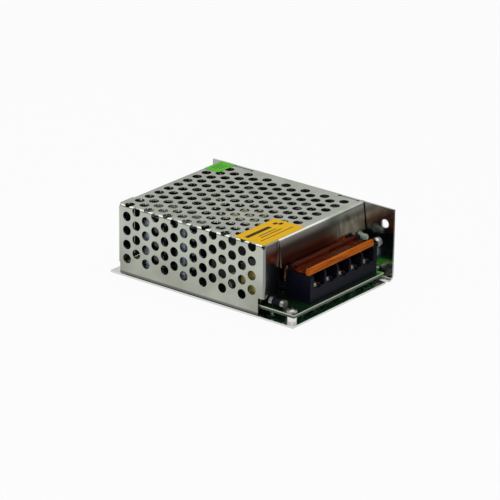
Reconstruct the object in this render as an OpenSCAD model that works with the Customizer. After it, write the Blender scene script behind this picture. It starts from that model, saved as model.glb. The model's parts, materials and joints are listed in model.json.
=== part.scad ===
// Mesh case switching power supply: an L-shaped base sheet that carries the circuit board,
// a perforated folded cover, and a five-way terminal block with a hinged lid.
// +X points to the solid wall, +Y to the rear and +Z up. The origin is the middle of the underside.

/* [Case] */
// Width from the lip of the bottom to the outer face of the solid wall
case_w = 78; // [78:1:90]
// Length from the terminal end to the rear end
case_l = 110; // [110:1:130]
// Height of the solid wall and of the cover
case_h = 36; // [36:0.5:44]
// Thickness of the base sheet
base_t = 1; // [0.8:0.1:1.4]
// Outer radius of the bend between the bottom and the solid wall
base_bend_r = 3; // [2:0.25:4]
// Thickness of the cover sheet
cover_t = 0.8; // [0.6:0.1:1]
// Outer radius of the folds in the cover
cover_bend_r = 1.2; // [1.1:0.1:1.6]
// How far the bottom stands out past the mesh side
bottom_lip = 0.5; // [0.3:0.1:1]
// Length of base left open in front of the cover
front_step = 17.5; // [17:0.25:20]
// Length of base left open behind the cover
rear_step = 4.4; // [3:0.2:7]

/* [Mesh] */
// Diameter of each vent hole
vent_d = 4.8; // [3.6:0.1:5]
// Distance between two holes of one column, measured along the sheet
vent_pitch = 7.13; // [6.6:0.01:8]
// Distance between two columns along the case
column_pitch = 5.8; // [5.4:0.1:7]
// Height of the lowest hole in the first column
first_vent_z = 12.8; // [12:0.1:14]

/* [Cover flanges] */
// Height of the step cut from the lower front corner of the mesh side
corner_step_z = 9.6; // [8:0.2:12]
// Length of that step along the case
corner_step_y = 3.4; // [2.5:0.1:5]
// Width of the corner flanges folded in from the mesh side
corner_flange_w = 10.8; // [8:0.2:12]
// Height of the lower edge of the front flange above the underside
drop_edge_z = 22.4; // [22:0.1:25]
// Angle at which the front flange leans outward
drop_lean = 7; // [0:0.5:8]

/* [Mounting] */
// Diameter of the clearance hole near the front of the solid wall
wall_hole_d = 4.3; // [3.4:0.1:5]
// Hole spacing of the bottom pattern across the case
bottom_hole_dx = 50; // [45:1:54]
// Hole spacing of the bottom pattern along the case
bottom_hole_dy = 80; // [70:1:90]

/* [Circuit board] */
// Thickness of the circuit board
board_t = 1.6; // [1.2:0.1:2]
// Height of the posts that carry the board
post_h = 3.4; // [3.2:0.1:5]
// Diameter of the posts
post_d = 4.8; // [4.4:0.1:5.2]

/* [Terminal block] */
// Distance from one way to the next
way_pitch = 9.5; // [9:0.1:9.6]
// Thickness of the barriers between the ways
barrier_t = 1.4; // [1.2:0.1:1.6]
// Thickness of the block's two end walls
block_end_t = 2.7; // [2.6:0.1:3.2]
// Depth of the block from front to rear
block_d = 14.2; // [14:0.1:14.3]
// Height of the barriers above the board
barrier_h = 14; // [13.5:0.1:14.2]
// Height of the low front wall above the board
sill_h = 7.2; // [6.8:0.1:8]
// Height of the metal floor of each way above the board
floor_h = 6; // [5.6:0.1:6.4]

/* [Parts on the board] */
// Diameter of the two bulk capacitors
bulk_d = 18; // [16:0.5:18.5]
// Height of the two bulk capacitors
bulk_h = 27.5; // [22:0.5:28]
// Diameter of the output capacitors
output_can_d = 10; // [8:0.5:10.5]
// Height of the output capacitors
output_can_h = 20; // [15:0.5:25]
// Length of the transformer core
core_l = 27; // [25:0.5:27.5]
// Width of the transformer core
core_w = 24.4; // [24:0.2:25]
// Diameter of the varistor disc
varistor_d = 15; // [12:0.5:15.5]
// Rows of wire on the output choke
choke_rows = 9; // [6:1:12]

/* [Labels] */
// Length of the front label across the case
front_label_w = 30.6; // [24:0.2:34]
// Length of the front label along the case
front_label_l = 17.6; // [14:0.2:20]
// Length of the rear label across the case
rear_label_w = 13.2; // [10:0.2:16]
// Length of the rear label along the case
rear_label_l = 9; // [7:0.2:10]

/* [Hidden] */
$fn = 64;

// Clearances
eps = 0.01;       // overlap of solids that become one piece
slip = 0.1;       // gap between sheets and parts that slide together
thread_gap = 0.05; // radial gap round a screw's shank
pin_gap = 0.05;   // radial gap of the lid's hinge
air = 0.3;        // gap between pieces that move past each other
cut = 1;          // how far a cutter runs past the sheet it cuts

// Case planes
front_y = -case_l / 2;
rear_y = case_l / 2;
lip_x = -case_w / 2;
wall_x = case_w / 2;
wall_in = wall_x - base_t;
side_x = lip_x + bottom_lip;
side_in = side_x + cover_t;
cover_y0 = front_y + front_step;
cover_y1 = rear_y - rear_step;
side_z0 = base_t + 0.2;
cover_x1 = wall_in - slip;
top_x1 = wall_x;
seat_z = case_h - cover_t - slip; // edge of the solid wall that the cover's top rests over
fold_relief = cover_bend_r + 0.5;
bend_loss = 0.6; // length of sheet taken up by the fold

// Vent pattern: one staggered grid on the flat sheet, which runs over the fold
vent_front_margin = 7.2;
vent_rear_margin = 5.4;
vent_wall_margin = 1.5;
column_y0 = cover_y0 + vent_front_margin;
column_count = floor((cover_y1 - vent_rear_margin - column_y0) / column_pitch + 0.001) + 1;
columns = [for (i = [0 : column_count - 1]) i];
function column_y(i) = column_y0 + i * column_pitch;
function flat_start(i) = first_vent_z - (i % 2) * vent_pitch / 2;
function flat_count(i) = floor((case_h - bend_loss + cover_x1 - side_x - vent_wall_margin
    - vent_d / 2 - flat_start(i)) / vent_pitch) + 1;
function flat_places(i) = [for (k = [0 : flat_count(i) - 1]) flat_start(i) + k * vent_pitch];
fold_s = case_h - bend_loss / 2;
function side_places(i) = [for (s = flat_places(i)) if (s < fold_s) s];
function top_places(i) = [for (s = flat_places(i)) if (s > fold_s) side_x + s - case_h + bend_loss];

// Screws
m3_r = 1.45;
m3_hole_r = m3_r + thread_gap;
m3_tap_r = 1.25;
pan_head_r = 2.75;
pan_head_h = 1.9;
flat_head_r = 2.6;

// Flanges of the cover
flange_x1 = cover_x1 - 0.5;

// Ears of the cover inside the wall, and its lugs on the bottom
ear_w = 10;
ear_drop = 8;
ear_ys = [cover_y0 + 8.5, cover_y1 - 15.4];
ear_hole_z = case_h - 4.8;
lug_w = 8;
lug_d = 8;
lug_ys = [cover_y0 + 18, cover_y1 - 16];
lug_hole_x = side_x + 5;

// Base details
wall_hole_y = front_y + 5.1;
wall_hole_z = case_h - 8.2;
earth_y = front_y + 9.4;
earth_z = 17.4;
relief_w = 2.3;
relief_d = 4;
relief_x = wall_x - base_bend_r - relief_w - 0.8;
collar_r = 2.1;
collar_h = base_t;

// Board
board_z0 = base_t + post_h;
board_z = board_z0 + board_t;
rear_edge_z = board_z + 0.6;
board_x0 = side_in + 0.4;
board_x1 = wall_in - 0.8;
board_y0 = front_y + 0.7;
board_y1 = cover_y1 - cover_t - 0.5;
board_notch_w = 5.4;
board_notch_d = 6.5;
post_inset = 2.8;
post_foot = 0.6; // solid bottom of each post under its bore
post_x0 = board_x0 + post_inset;
post_x1 = wall_x - base_bend_r - post_d / 2 - slip;
post_points = [
    [post_x0, board_y0 + post_inset + 0.6],
    [post_x0, board_y1 - post_inset],
    [post_x1, board_y1 - post_inset],
    [post_x1, cover_y0 + 4]
];
lead_r = 0.35;
lead_hole_r = lead_r + slip;
lead_below = 1.2; // length of each lead under the board

// Terminal block
way_count = 5;
ways = [0 : way_count - 1];
block_gap = 8.75;
block_x1 = wall_in - block_gap;
block_w = way_count * way_pitch - barrier_t + 2 * block_end_t;
block_x0 = block_x1 - block_w;
block_y0 = front_y + 3;
block_y1 = block_y0 + block_d;
function way_x(i) = block_x0 + block_end_t + (way_pitch - barrier_t) / 2 + i * way_pitch;
way_w = way_pitch - barrier_t;
barrier_z = board_z + barrier_h;
sill_z = board_z + sill_h;
floor_z = board_z + floor_h;
plate_t = 1;
plate_w = way_w - 2 * slip;
sill_t = 1.1;
barrier_set = 0.9;
rear_wall_d = 4.4;
way_y0 = block_y0 + sill_t;
way_y1 = block_y1 - rear_wall_d;
screw_y = way_y0 + 3.6;
well_r = 2;
well_z = board_z + 0.8;
clamp_t = 1;
clamp_w = way_w - 2 * 0.45;
clamp_d = 6.6;
clamp_lip = 0.5;
screw_head_r = 2.9;
screw_head_h = 2;
shank_l = 5.4;
tail_w = 3;
tail_t = 0.8;
tail_y0 = way_y1 - tail_t - slip;

// Lid
lid_x0 = block_x0 - 0.65;
lid_x1 = block_x1 - block_end_t - 0.15;
hinge_y = block_y1 - 3.4;
barrel_r = 1.45;
hinge_z = barrier_z + barrel_r + 0.55;
lid_panel_t = 1;
bead_w = 2.2;
bead_h = 3.3;
bead_r = 0.8;
bead_y0 = block_y0;
lid_low = barrier_z + air;
pin_r = 0.9;
ear_t = 0.9;
lug_t = 1.7;
lid_lug_x0 = lid_x0 + ear_t + pin_gap;
lid_lug_clear = barrel_r + 0.35;

// Trimmer and status light beside the block
trim_x = (block_x1 + wall_in) / 2 - 0.2;
trim_y0 = front_y + 13.6;
trim_w = 6.4;
trim_d = 3.4;
trim_h = 7.6;
rotor_r = 2.4;
rotor_z = board_z + 4;
led_x = block_x1 + 2.6;
led_z = drop_edge_z - 1.1;
led_r = 1.5;
led_rim_r = 1.9;
led_rim_y = front_y + 15.4;
led_body_l = 3.6;
led_lead_gap = 1.27;
led_lead_y = led_rim_y + 2.3;
led_lead_t = 0.5;

// Mains side, set out from the mesh side
fuse_x = side_in + 3.7;
fuse_y0 = front_y + 8.4;
fuse_l = 8.4;
fuse_r = 1.75;
fuse_cap_l = 1.8;
fuse_cap_r = 2;
fuse_z = board_z + 2.3;
varistor_x = side_in + 1.2;
varistor_t = 4.2;
varistor_y = cover_y0 + 8.8;
varistor_z = board_z + varistor_d / 2 + 2.3;
xcap_t = 8;
xcap_l = 17.5;
xcap_h = 14;
xcap_x = side_in + 7.6;
xcap_y = cover_y0 + 3.4;
filter_x = xcap_x + xcap_t + 8;
filter_y = cover_y0 + 12.5;
filter_w = 20;
filter_h = 18;
filter_leg = 4.6;
filter_coil_r = 5.1;
filter_feet = 1;
thermistor_x = side_in + 3.6;
thermistor_y = varistor_y + 12.2;
thermistor_r = 4.4;
thermistor_t = 3.6;
bridge_x = side_in + 8;
bridge_l = 14.6;
bridge_y = xcap_y + xcap_l + bridge_l / 2 + 0.8;
bridge_t = 4;
bridge_h = 11;
bulk_x = side_in + bulk_d / 2 + 0.7;
bulk_ys = [cover_y1 - 37.8, cover_y1 - 17.6];

// Transformer
xfmr_x = side_in + 36.7;
xfmr_y = cover_y1 - 46.9;
core_h = 10;
core_end = 5;
core_leg = 8;
core_outer = 3.7;
xfmr_z = board_z + 13;
bobbin_t = 1;
bobbin_w = core_w - 2 * core_outer - 2 * slip;
bobbin_l = core_l - 2 * core_end - 2 * slip;
tube_w = core_leg + 2 * slip + 2 * bobbin_t;
tube_h = core_h + 2 * slip + 2 * bobbin_t;
winding_h = 23;
winding_r = 3;
flange_h = winding_h + 0.8;

// Power semiconductors on the wall
tab_t = 1.3;
tab_w = 10;
tab_h = 15.5;
moulding_h = 9;
moulding_t = 4.4;
device_z = board_z + 4;
device_hole_z = device_z + 12.6;
pad_t = 0.3;
pad_w = 12.6;
pad_h = 18;
device_x = wall_in - pad_t;
switch_y = cover_y1 - 20.6;
diode_y = cover_y1 - 50.6;
device_lead_pitch = 2.54;
device_lead_x = device_x - tab_t - 1.2;

// Output side
choke_x = wall_in - 24.5;
choke_y = cover_y0 + 13;
choke_r = 7.4;
choke_post_r = 3;
choke_flange_t = 1.6;
wire_r = 0.45;
wire_pitch = 1.9 * wire_r;
choke_coil_r = 5.6;
choke_coil_h = (choke_rows + 1) * wire_pitch;
choke_h = choke_coil_h + 2 * (choke_flange_t + slip);
output_can_points = [
    [wall_in - 8.6, cover_y0 + 12.4],
    [wall_in - 8, cover_y0 + 24.2],
    [wall_in - 17.6, cover_y0 + 33.2]
];

// Small parts behind the transformer
small_y = cover_y1 - 30;
chip_points = [wall_in - 34, small_y + 12.5];
opto_points = [wall_in - 24, small_y + 8];
ycap_points = [wall_in - 13.5, small_y + 1];
ycap_r = 4;
ycap_t = 3;
resistor_points = [for (i = [0 : 4]) [wall_in - 44 + 4.6 * i, small_y + 22]];
resistor_r = 1.15;
resistor_l = 6;
small_can_r = 3;
small_can_h = 11;
small_can_points = [[wall_in - 44, small_y + 8], [wall_in - 16, small_y + 21]];

// Labels
label_t = 0.12;
front_label_x = side_x + 0.9;
front_label_y = cover_y0 + 0.9;
rear_label_x = cover_x1 - rear_label_w + 0.05;
rear_label_y = cover_y1 - rear_label_l - 0.9;

// ---------------------------------------------------------------- helpers

// Extrudes an outline drawn in Y and Z from x0 to x1
module along_x(x0, x1)
    translate([x0, 0, 0]) rotate([90, 0, 90]) linear_extrude(x1 - x0) children();

// Extrudes an outline drawn in X and Z from y0 to y1
module along_y(y0, y1)
    translate([0, y1, 0]) rotate([90, 0, 0]) linear_extrude(y1 - y0) children();

// Extrudes an outline drawn in X and Y from z0 to z1
module along_z(z0, z1)
    translate([0, 0, z0]) linear_extrude(z1 - z0) children();

// Box between two corners
module box(low, high)
    translate(low) cube(high - low);

// Section of a bend: a band of a ring from angle a0 to angle a1
module bend_section(r, t, a0, a1)
    intersection() {
        difference() {
            circle(r);
            circle(r - t);
        }
        polygon([
            [0, 0],
            2 * r * [cos(a0), sin(a0)],
            2 * r * [cos((a0 + a1) / 2), sin((a0 + a1) / 2)],
            2 * r * [cos(a1), sin(a1)]
        ]);
    }

module rounded_square(size, r)
    union() {
        translate([r, 0]) square([size[0] - 2 * r, size[1]]);
        translate([0, r]) square([size[0], size[1] - 2 * r]);
        for (x = [r, size[0] - r], y = [r, size[1] - r])
            translate([x, y]) circle(r);
    }

// Cross recess for a screw head whose top is at z = 0
module cross_recess(r, depth)
    for (a = [0, 90])
        rotate(a) translate([-r, -0.35, -depth]) cube([2 * r, 0.7, depth + cut]);

// Pan-head screw whose head sits on z = 0 and whose shank points down
module pan_screw(length, head_r = pan_head_r, head_h = pan_head_h)
    union() {
        difference() {
            rotate_extrude() intersection() {
                translate([0, head_h - 2.2 * head_r]) circle(2.2 * head_r);
                square([head_r, head_h]);
            }
            translate([0, 0, head_h]) cross_recess(0.62 * head_r, 0.9);
        }
        translate([0, 0, -length]) cylinder(h = length + eps, r = m3_r);
    }

// Flat-head screw whose flat face is at z = 0 and whose point is down
module flat_screw(length, depth)
    difference() {
        union() {
            translate([0, 0, -length]) cylinder(h = length, r = m3_r);
            translate([0, 0, -depth]) cylinder(h = depth, r1 = m3_r, r2 = flat_head_r);
        }
        cross_recess(0.55 * flat_head_r, 0.6);
    }

// Countersunk hole that leaves a gap round a flat screw; its wide end is at z = 0
module countersink(depth)
    union() {
        translate([0, 0, -depth]) cylinder(h = depth, r1 = m3_hole_r, r2 = flat_head_r + thread_gap);
        cylinder(h = cut, r = flat_head_r + thread_gap);
        translate([0, 0, -depth - cut]) cylinder(h = depth + cut, r = m3_hole_r);
    }

// Wire leads that run from a body above the board to below it
module leads(points, top_z)
    for (p = points)
        translate([p[0], p[1], board_z0 - lead_below]) cylinder(h = top_z - board_z0 + lead_below, r = lead_r);

// Upright electrolytic can with a rolled groove near its foot and a vent cross on top
module can_capacitor(r, h)
    difference() {
        rotate_extrude() difference() {
            union() {
                square([r - 0.6, h]);
                square([r, h - 0.6]);
                translate([r - 0.6, h - 0.6]) circle(0.6);
            }
            translate([r + 0.25, 2.4]) circle(0.65);
        }
        for (a = [45, 135])
            translate([0, 0, h]) rotate(a) cube([1.3 * r, 0.4, 0.4], center = true);
    }

// ---------------------------------------------------------------- lead places

function pair_x(x, y, gap) = [[x - gap / 2, y], [x + gap / 2, y]];
function pair_y(x, y, gap) = [[x, y - gap / 2], [x, y + gap / 2]];
fuse_leads = pair_y(fuse_x, fuse_y0 + fuse_l / 2, fuse_l - fuse_cap_l);
varistor_leads = pair_y(varistor_x + varistor_t / 2, varistor_y, 7.5);
xcap_leads = pair_y(xcap_x + xcap_t / 2, xcap_y + xcap_l / 2, 15);
filter_leads = concat(pair_x(filter_x, filter_y - filter_w / 2 + filter_leg / 2, 7),
    pair_x(filter_x, filter_y + filter_w / 2 - filter_leg / 2, 7));
thermistor_leads = pair_y(thermistor_x, thermistor_y, 5);
bridge_leads = [for (i = [-1.5 : 1 : 1.5]) [bridge_x, bridge_y + 3.8 * i]];
bulk_leads = [for (y = bulk_ys) each pair_y(bulk_x, y, 7.5)];
bobbin_leads = [for (s = [-1, 1], i = [-1.5 : 1 : 1.5])
    [xfmr_x + s * (bobbin_l - bobbin_t) / 2, xfmr_y + 4 * i]];
device_leads = [for (y = [switch_y, diode_y], i = [-1 : 1]) [device_lead_x, y + device_lead_pitch * i]];
choke_leads = pair_x(choke_x, choke_y, choke_post_r + choke_coil_r);
output_leads = [for (p = output_can_points) each pair_x(p[0], p[1], 5)];
ycap_leads = pair_x(ycap_points[0], ycap_points[1], 7.5);
small_can_leads = [for (p = small_can_points) each pair_x(p[0], p[1], 2.5)];
resistor_leads = [for (p = resistor_points) each pair_y(p[0], p[1], resistor_l + 3)];
chip_leads = [for (i = [-1.5 : 1 : 1.5], s = [-1, 1])
    [chip_points[0] + 2.54 * i, chip_points[1] + 3.81 * s]];
opto_leads = [for (i = [-0.5, 0.5], s = [-1, 1])
    [opto_points[0] + 2.54 * i, opto_points[1] + 3.81 * s]];
trimmer_leads = pair_x(trim_x, trim_y0 + trim_d / 2, 5);
led_points = pair_x(led_x, led_lead_y, 2 * led_lead_gap);
all_leads = concat(fuse_leads, varistor_leads, xcap_leads, filter_leads, thermistor_leads,
    bridge_leads, bulk_leads, bobbin_leads, device_leads, choke_leads, output_leads, ycap_leads,
    small_can_leads, resistor_leads, chip_leads, opto_leads, trimmer_leads, led_points);

// ---------------------------------------------------------------- case

// Bottom and solid wall, folded from one sheet
module base_chassis()
    color([0.72, 0.73, 0.72]) difference() {
        union() {
            difference() {
                along_y(front_y, rear_y) union() {
                    translate([lip_x, 0]) square([case_w - base_bend_r, base_t]);
                    translate([wall_in, base_bend_r]) square([base_t, case_h - base_bend_r]);
                    translate([wall_x - base_bend_r, base_bend_r]) bend_section(base_bend_r, base_t, -90, 0);
                }
                box([relief_x, front_y - cut, -cut], [relief_x + relief_w, front_y + relief_d, base_t + cut]);
                seat_notch();
            }
            for (x = [-1, 1], y = [-1, 1])
                translate([x * bottom_hole_dx / 2, y * bottom_hole_dy / 2, base_t - eps])
                    cylinder(h = collar_h + eps, r = collar_r);
        }
        for (x = [-1, 1], y = [-1, 1])
            translate([x * bottom_hole_dx / 2, y * bottom_hole_dy / 2, -cut])
                cylinder(h = base_t + collar_h + 2 * cut, r = m3_tap_r);
        for (p = post_points)
            translate([p[0], p[1], -cut]) cylinder(h = base_t + 2 * cut, r = post_d / 2 - 1 + thread_gap);
        for (y = lug_ys)
            translate([lug_hole_x, y, 0]) mirror([0, 0, 1]) countersink(base_t);
        for (y = ear_ys)
            translate([wall_x, y, ear_hole_z]) rotate([0, 90, 0]) countersink(base_t);
        translate([wall_in - cut, wall_hole_y, wall_hole_z]) rotate([0, 90, 0])
            cylinder(h = base_t + 2 * cut, r = wall_hole_d / 2);
        for (p = [[earth_y, earth_z], [switch_y, device_hole_z], [diode_y, device_hole_z]])
            translate([wall_in - cut, p[0], p[1]]) rotate([0, 90, 0])
                cylinder(h = base_t + 2 * cut, r = m3_hole_r);
    }

// Lower edge of the solid wall under the cover's top, left at full height beside each ear
module seat_notch()
    difference() {
        box([wall_in - cut, cover_y0 - slip, seat_z], [wall_x + cut, cover_y1 + slip, case_h + cut]);
        for (y = ear_ys)
            box([wall_in - 2 * cut, y - (ear_w + relief_w) / 2 + slip, seat_z - cut],
                [wall_x + 2 * cut, y + (ear_w + relief_w) / 2 - slip, case_h + 2 * cut]);
    }

// Flat outline of the mesh side, in Y and Z, with its holes below the fold
module side_outline()
    difference() {
        polygon([
            [cover_y0 + corner_step_y, side_z0],
            [cover_y1 - cover_bend_r, side_z0],
            [cover_y1 - cover_bend_r, case_h - cover_bend_r],
            [cover_y0 + cover_bend_r, case_h - cover_bend_r],
            [cover_y0 + cover_bend_r, corner_step_z],
            [cover_y0 + corner_step_y, corner_step_z]
        ]);
        for (i = columns, s = side_places(i))
            if (s + vent_d / 2 < case_h - cover_bend_r)
                translate([column_y(i), s]) circle(d = vent_d);
    }

// Flat outline of the top, in X and Y, with its holes past the fold
module top_outline()
    difference() {
        union() {
            translate([side_x + cover_bend_r, cover_y0 + cover_bend_r])
                square([top_x1 - side_x - cover_bend_r, cover_y1 - cover_y0 - 2 * cover_bend_r]);
            translate([side_x + fold_relief, cover_y0])
                square([corner_flange_w - fold_relief, cover_y1 - cover_y0]);
            translate([flange_x1 + slip, cover_y0])
                square([top_x1 - flange_x1 - slip, cover_y1 - cover_y0]);
        }
        for (i = columns, x = top_places(i))
            if (x - vent_d / 2 > side_x + cover_bend_r)
                translate([x, column_y(i)]) circle(d = vent_d);
        for (y = ear_ys)
            translate([cover_x1 - fold_relief, y - ear_w / 2 - relief_w / 2])
                square([top_x1 - cover_x1 + fold_relief + cut, ear_w + relief_w]);
    }

// Side, fold and top as one bent sheet, with the holes that cross the fold
module perforated_sheet()
    difference() {
        union() {
            along_x(side_x, side_in) side_outline();
            along_y(cover_y0 + fold_relief, cover_y1 - fold_relief)
                translate([side_x + cover_bend_r, case_h - cover_bend_r])
                    bend_section(cover_bend_r, cover_t, 90, 180);
            along_z(case_h - cover_t, case_h) top_outline();
        }
        for (i = columns, s = side_places(i))
            if (s + vent_d / 2 >= case_h - cover_bend_r)
                translate([side_x - cut, column_y(i), s]) rotate([0, 90, 0])
                    cylinder(h = cut + cover_bend_r, d = vent_d);
        for (i = columns, x = top_places(i))
            if (x - vent_d / 2 <= side_x + cover_bend_r)
                translate([x, column_y(i), case_h - cover_bend_r])
                    cylinder(h = cover_bend_r + cut, d = vent_d);
    }

// Corner flange folded in from the mesh side, at the cover's front; it tucks under the top
module corner_flange(edge_z)
    union() {
        along_z(edge_z, case_h - fold_relief)
            translate([side_x + cover_bend_r, cover_y0 + cover_bend_r])
                bend_section(cover_bend_r, cover_t, 180, 270);
        along_z(edge_z, case_h - cover_t - slip)
            translate([side_x + cover_bend_r - eps, cover_y0])
                square([corner_flange_w - cover_bend_r, cover_t]);
    }

// Flange folded down from the top, at the cover's front; lean tips its edge outward
module drop_flange(edge_z, lean)
    let (a = 180 - lean, z0 = case_h - cover_bend_r + cover_bend_r * sin(a))
    along_x(side_x + corner_flange_w + 0.5, flange_x1)
        translate([cover_y0 + cover_bend_r, case_h - cover_bend_r]) union() {
            bend_section(cover_bend_r, cover_t, 90, a);
            rotate(a) translate([cover_bend_r - cover_t, -eps])
                square([cover_t, (z0 - edge_z) / -cos(a) + eps]);
        }

module at_rear()
    translate([0, cover_y0 + cover_y1, 0]) mirror([0, 1, 0]) children();

// Ear folded down inside the solid wall, with a tapped hole
module cover_ear()
    difference() {
        along_y(-ear_w / 2, ear_w / 2) union() {
            translate([cover_x1 - fold_relief - eps, case_h - cover_t])
                square([fold_relief - cover_bend_r + eps, cover_t]);
            translate([cover_x1 - cover_bend_r, case_h - cover_bend_r])
                bend_section(cover_bend_r, cover_t, 0, 90);
            translate([cover_x1 - cover_t, case_h - ear_drop])
                square([cover_t, ear_drop - cover_bend_r]);
        }
        translate([cover_x1 - cover_t - cut, 0, ear_hole_z]) rotate([0, 90, 0])
            cylinder(h = cover_t + 2 * cut, r = m3_hole_r);
    }

// Lug folded in at the foot of the mesh side, with a tapped hole
module cover_lug()
    difference() {
        along_y(-lug_w / 2, lug_w / 2)
            translate([side_x + cover_bend_r, base_t + cover_bend_r]) union() {
                bend_section(cover_bend_r, cover_t, 180, 270);
                translate([-eps, -cover_bend_r]) square([lug_d - cover_bend_r, cover_t]);
                translate([-cover_bend_r, -eps]) square([cover_t, side_z0 - base_t + 2 * eps]);
            }
        translate([lug_hole_x, 0, base_t - cut]) cylinder(h = cover_t + 2 * cut, r = m3_hole_r);
    }

// Perforated cover, folded from one sheet
module mesh_cover()
    color([0.68, 0.68, 0.63]) union() {
        perforated_sheet();
        corner_flange(corner_step_z);
        drop_flange(drop_edge_z, drop_lean);
        at_rear() corner_flange(rear_edge_z);
        at_rear() drop_flange(rear_edge_z, 0);
        for (y = ear_ys)
            translate([0, y, 0]) cover_ear();
        for (y = lug_ys)
            translate([0, y, 0]) cover_lug();
    }

module cover_screws()
    color([0.8, 0.8, 0.78]) union() {
        for (y = ear_ys)
            translate([wall_x, y, ear_hole_z]) rotate([0, 90, 0]) flat_screw(3.6, base_t);
        for (y = lug_ys)
            translate([lug_hole_x, y, 0]) mirror([0, 0, 1]) flat_screw(2.8, base_t);
    }

module earth_screw()
    color([0.8, 0.8, 0.78]) translate([wall_in, earth_y, earth_z]) rotate([0, -90, 0])
        pan_screw(base_t);

// ---------------------------------------------------------------- board and its fixings

module board_posts()
    color([0.78, 0.78, 0.76]) for (p = post_points)
        translate([p[0], p[1], 0]) difference() {
            union() {
                cylinder(h = base_t + eps, r = post_d / 2 - 1);
                translate([0, 0, base_t]) cylinder(h = post_h, d = post_d);
            }
            translate([0, 0, base_t + post_foot]) cylinder(h = post_h + cut, r = m3_hole_r);
        }

module board_screws()
    color([0.8, 0.8, 0.78]) for (p = post_points)
        translate([p[0], p[1], board_z]) rotate(20) pan_screw(board_t + post_h - post_foot - air);

module insulating_sheet()
    color([0.85, 0.87, 0.85, 0.6]) along_z(base_t, base_t + 0.25) difference() {
        translate([side_x + lug_d + 1.5, cover_y0 - 4])
            square([post_x1 - post_d / 2 - side_x - lug_d - 2, cover_y1 - cover_y0 + 2]);
        for (x = [-1, 1], y = [-1, 1])
            translate([x * bottom_hole_dx / 2, y * bottom_hole_dy / 2]) circle(collar_r + air);
        for (p = post_points)
            translate([p[0], p[1]]) circle(post_d / 2 + air);
    }

module circuit_board()
    color([0.1, 0.42, 0.14]) along_z(board_z0, board_z) difference() {
        translate([board_x0, board_y0]) square([board_x1 - board_x0, board_y1 - board_y0]);
        translate([board_x1 - board_notch_w, board_y0 - cut])
            square([board_notch_w + cut, board_notch_d + cut]);
        for (p = post_points)
            translate([p[0], p[1]]) circle(m3_hole_r + slip);
        for (p = all_leads)
            translate([p[0], p[1]]) circle(lead_hole_r);
        for (i = ways)
            translate([way_x(i) - tail_w / 2 - slip, tail_y0 - slip])
                square([tail_w + 2 * slip, tail_t + 2 * slip]);
    }

// ---------------------------------------------------------------- terminal block

// Body with a barrier between each two ways, wells under the screws and two hinge lugs
module terminal_block()
    color([0.09, 0.09, 0.14]) difference() {
        union() {
            along_x(block_x0, block_x1) polygon([
                [block_y0, board_z],
                [block_y1, board_z],
                [block_y1, barrier_z],
                [block_y0 + barrier_set, barrier_z],
                [block_y0, barrier_z - 1.5]
            ]);
            hinge_lug(lid_lug_x0, lid_lug_x0 + lug_t);
            hinge_lug(lid_x1 + 0.2, lid_x1 + 0.2 + lug_t + 0.2);
            translate([lid_x0 + pin_gap, hinge_y, hinge_z]) rotate([0, 90, 0])
                cylinder(h = lid_lug_x0 - lid_x0, r = pin_r);
        }
        for (i = ways)
            translate([way_x(i), 0, 0]) way_cut();
        translate([lid_x1, hinge_y, hinge_z]) rotate([0, 90, 0]) cylinder(h = 1.8, r = pin_r + pin_gap);
    }

module hinge_lug(x0, x1)
    along_x(x0, x1) union() {
        translate([hinge_y - barrel_r, barrier_z - eps]) square([2 * barrel_r, hinge_z - barrier_z + eps]);
        translate([hinge_y, hinge_z]) circle(barrel_r);
    }

// Space cut from the block for one way: the well, the plate's bed, the wire mouth and the tail's slot
module way_cut()
    union() {
        box([-way_w / 2, way_y0, floor_z - plate_t], [way_w / 2, way_y1, barrier_z + cut]);
        along_y(block_y0 - cut, way_y0 + eps) union() {
            translate([-way_w / 2, sill_z]) square([way_w, barrier_z]);
            translate([0, sill_z + 2.6]) circle(3.4);
        }
        translate([0, screw_y, well_z]) cylinder(h = floor_z, r = well_r);
        box([-tail_w / 2 - slip, tail_y0 - slip, board_z - cut],
            [tail_w / 2 + slip, tail_y0 + tail_t + slip, floor_z]);
    }

// Tinned floor plates; each has a tapped hole and a tail that passes through the board
module terminal_plates()
    color([0.8, 0.78, 0.7]) for (i = ways)
        translate([way_x(i), 0, 0]) difference() {
            union() {
                box([-plate_w / 2, way_y0 + slip, floor_z - plate_t], [plate_w / 2, way_y1 - slip, floor_z]);
                box([-tail_w / 2, tail_y0, board_z0 - lead_below], [tail_w / 2, tail_y0 + tail_t, floor_z - eps]);
            }
            translate([0, screw_y, floor_z - plate_t - cut]) cylinder(h = plate_t + 2 * cut, r = m3_hole_r);
        }

// Square clamp with its two side edges turned up
module wire_clamp(i)
    color([0.82, 0.8, 0.74]) translate([way_x(i), screw_y, floor_z]) difference() {
        union() {
            along_z(0, clamp_t) translate([-clamp_w / 2, -clamp_d / 2])
                rounded_square([clamp_w, clamp_d], 0.6);
            for (s = [-1, 1])
                translate([s * (clamp_w / 2 - clamp_lip / 2) - clamp_lip / 2, -clamp_d / 2 + 0.8, clamp_t - eps])
                    cube([clamp_lip, clamp_d - 1.6, 0.7]);
        }
        translate([0, 0, -cut]) cylinder(h = clamp_t + 2 * cut, r = m3_hole_r + slip);
    }

module terminal_screw(i)
    color([0.82, 0.8, 0.74]) translate([way_x(i), screw_y, floor_z + clamp_t]) rotate(12 + 31 * i)
        pan_screw(shank_l, screw_head_r, screw_head_h);

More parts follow.
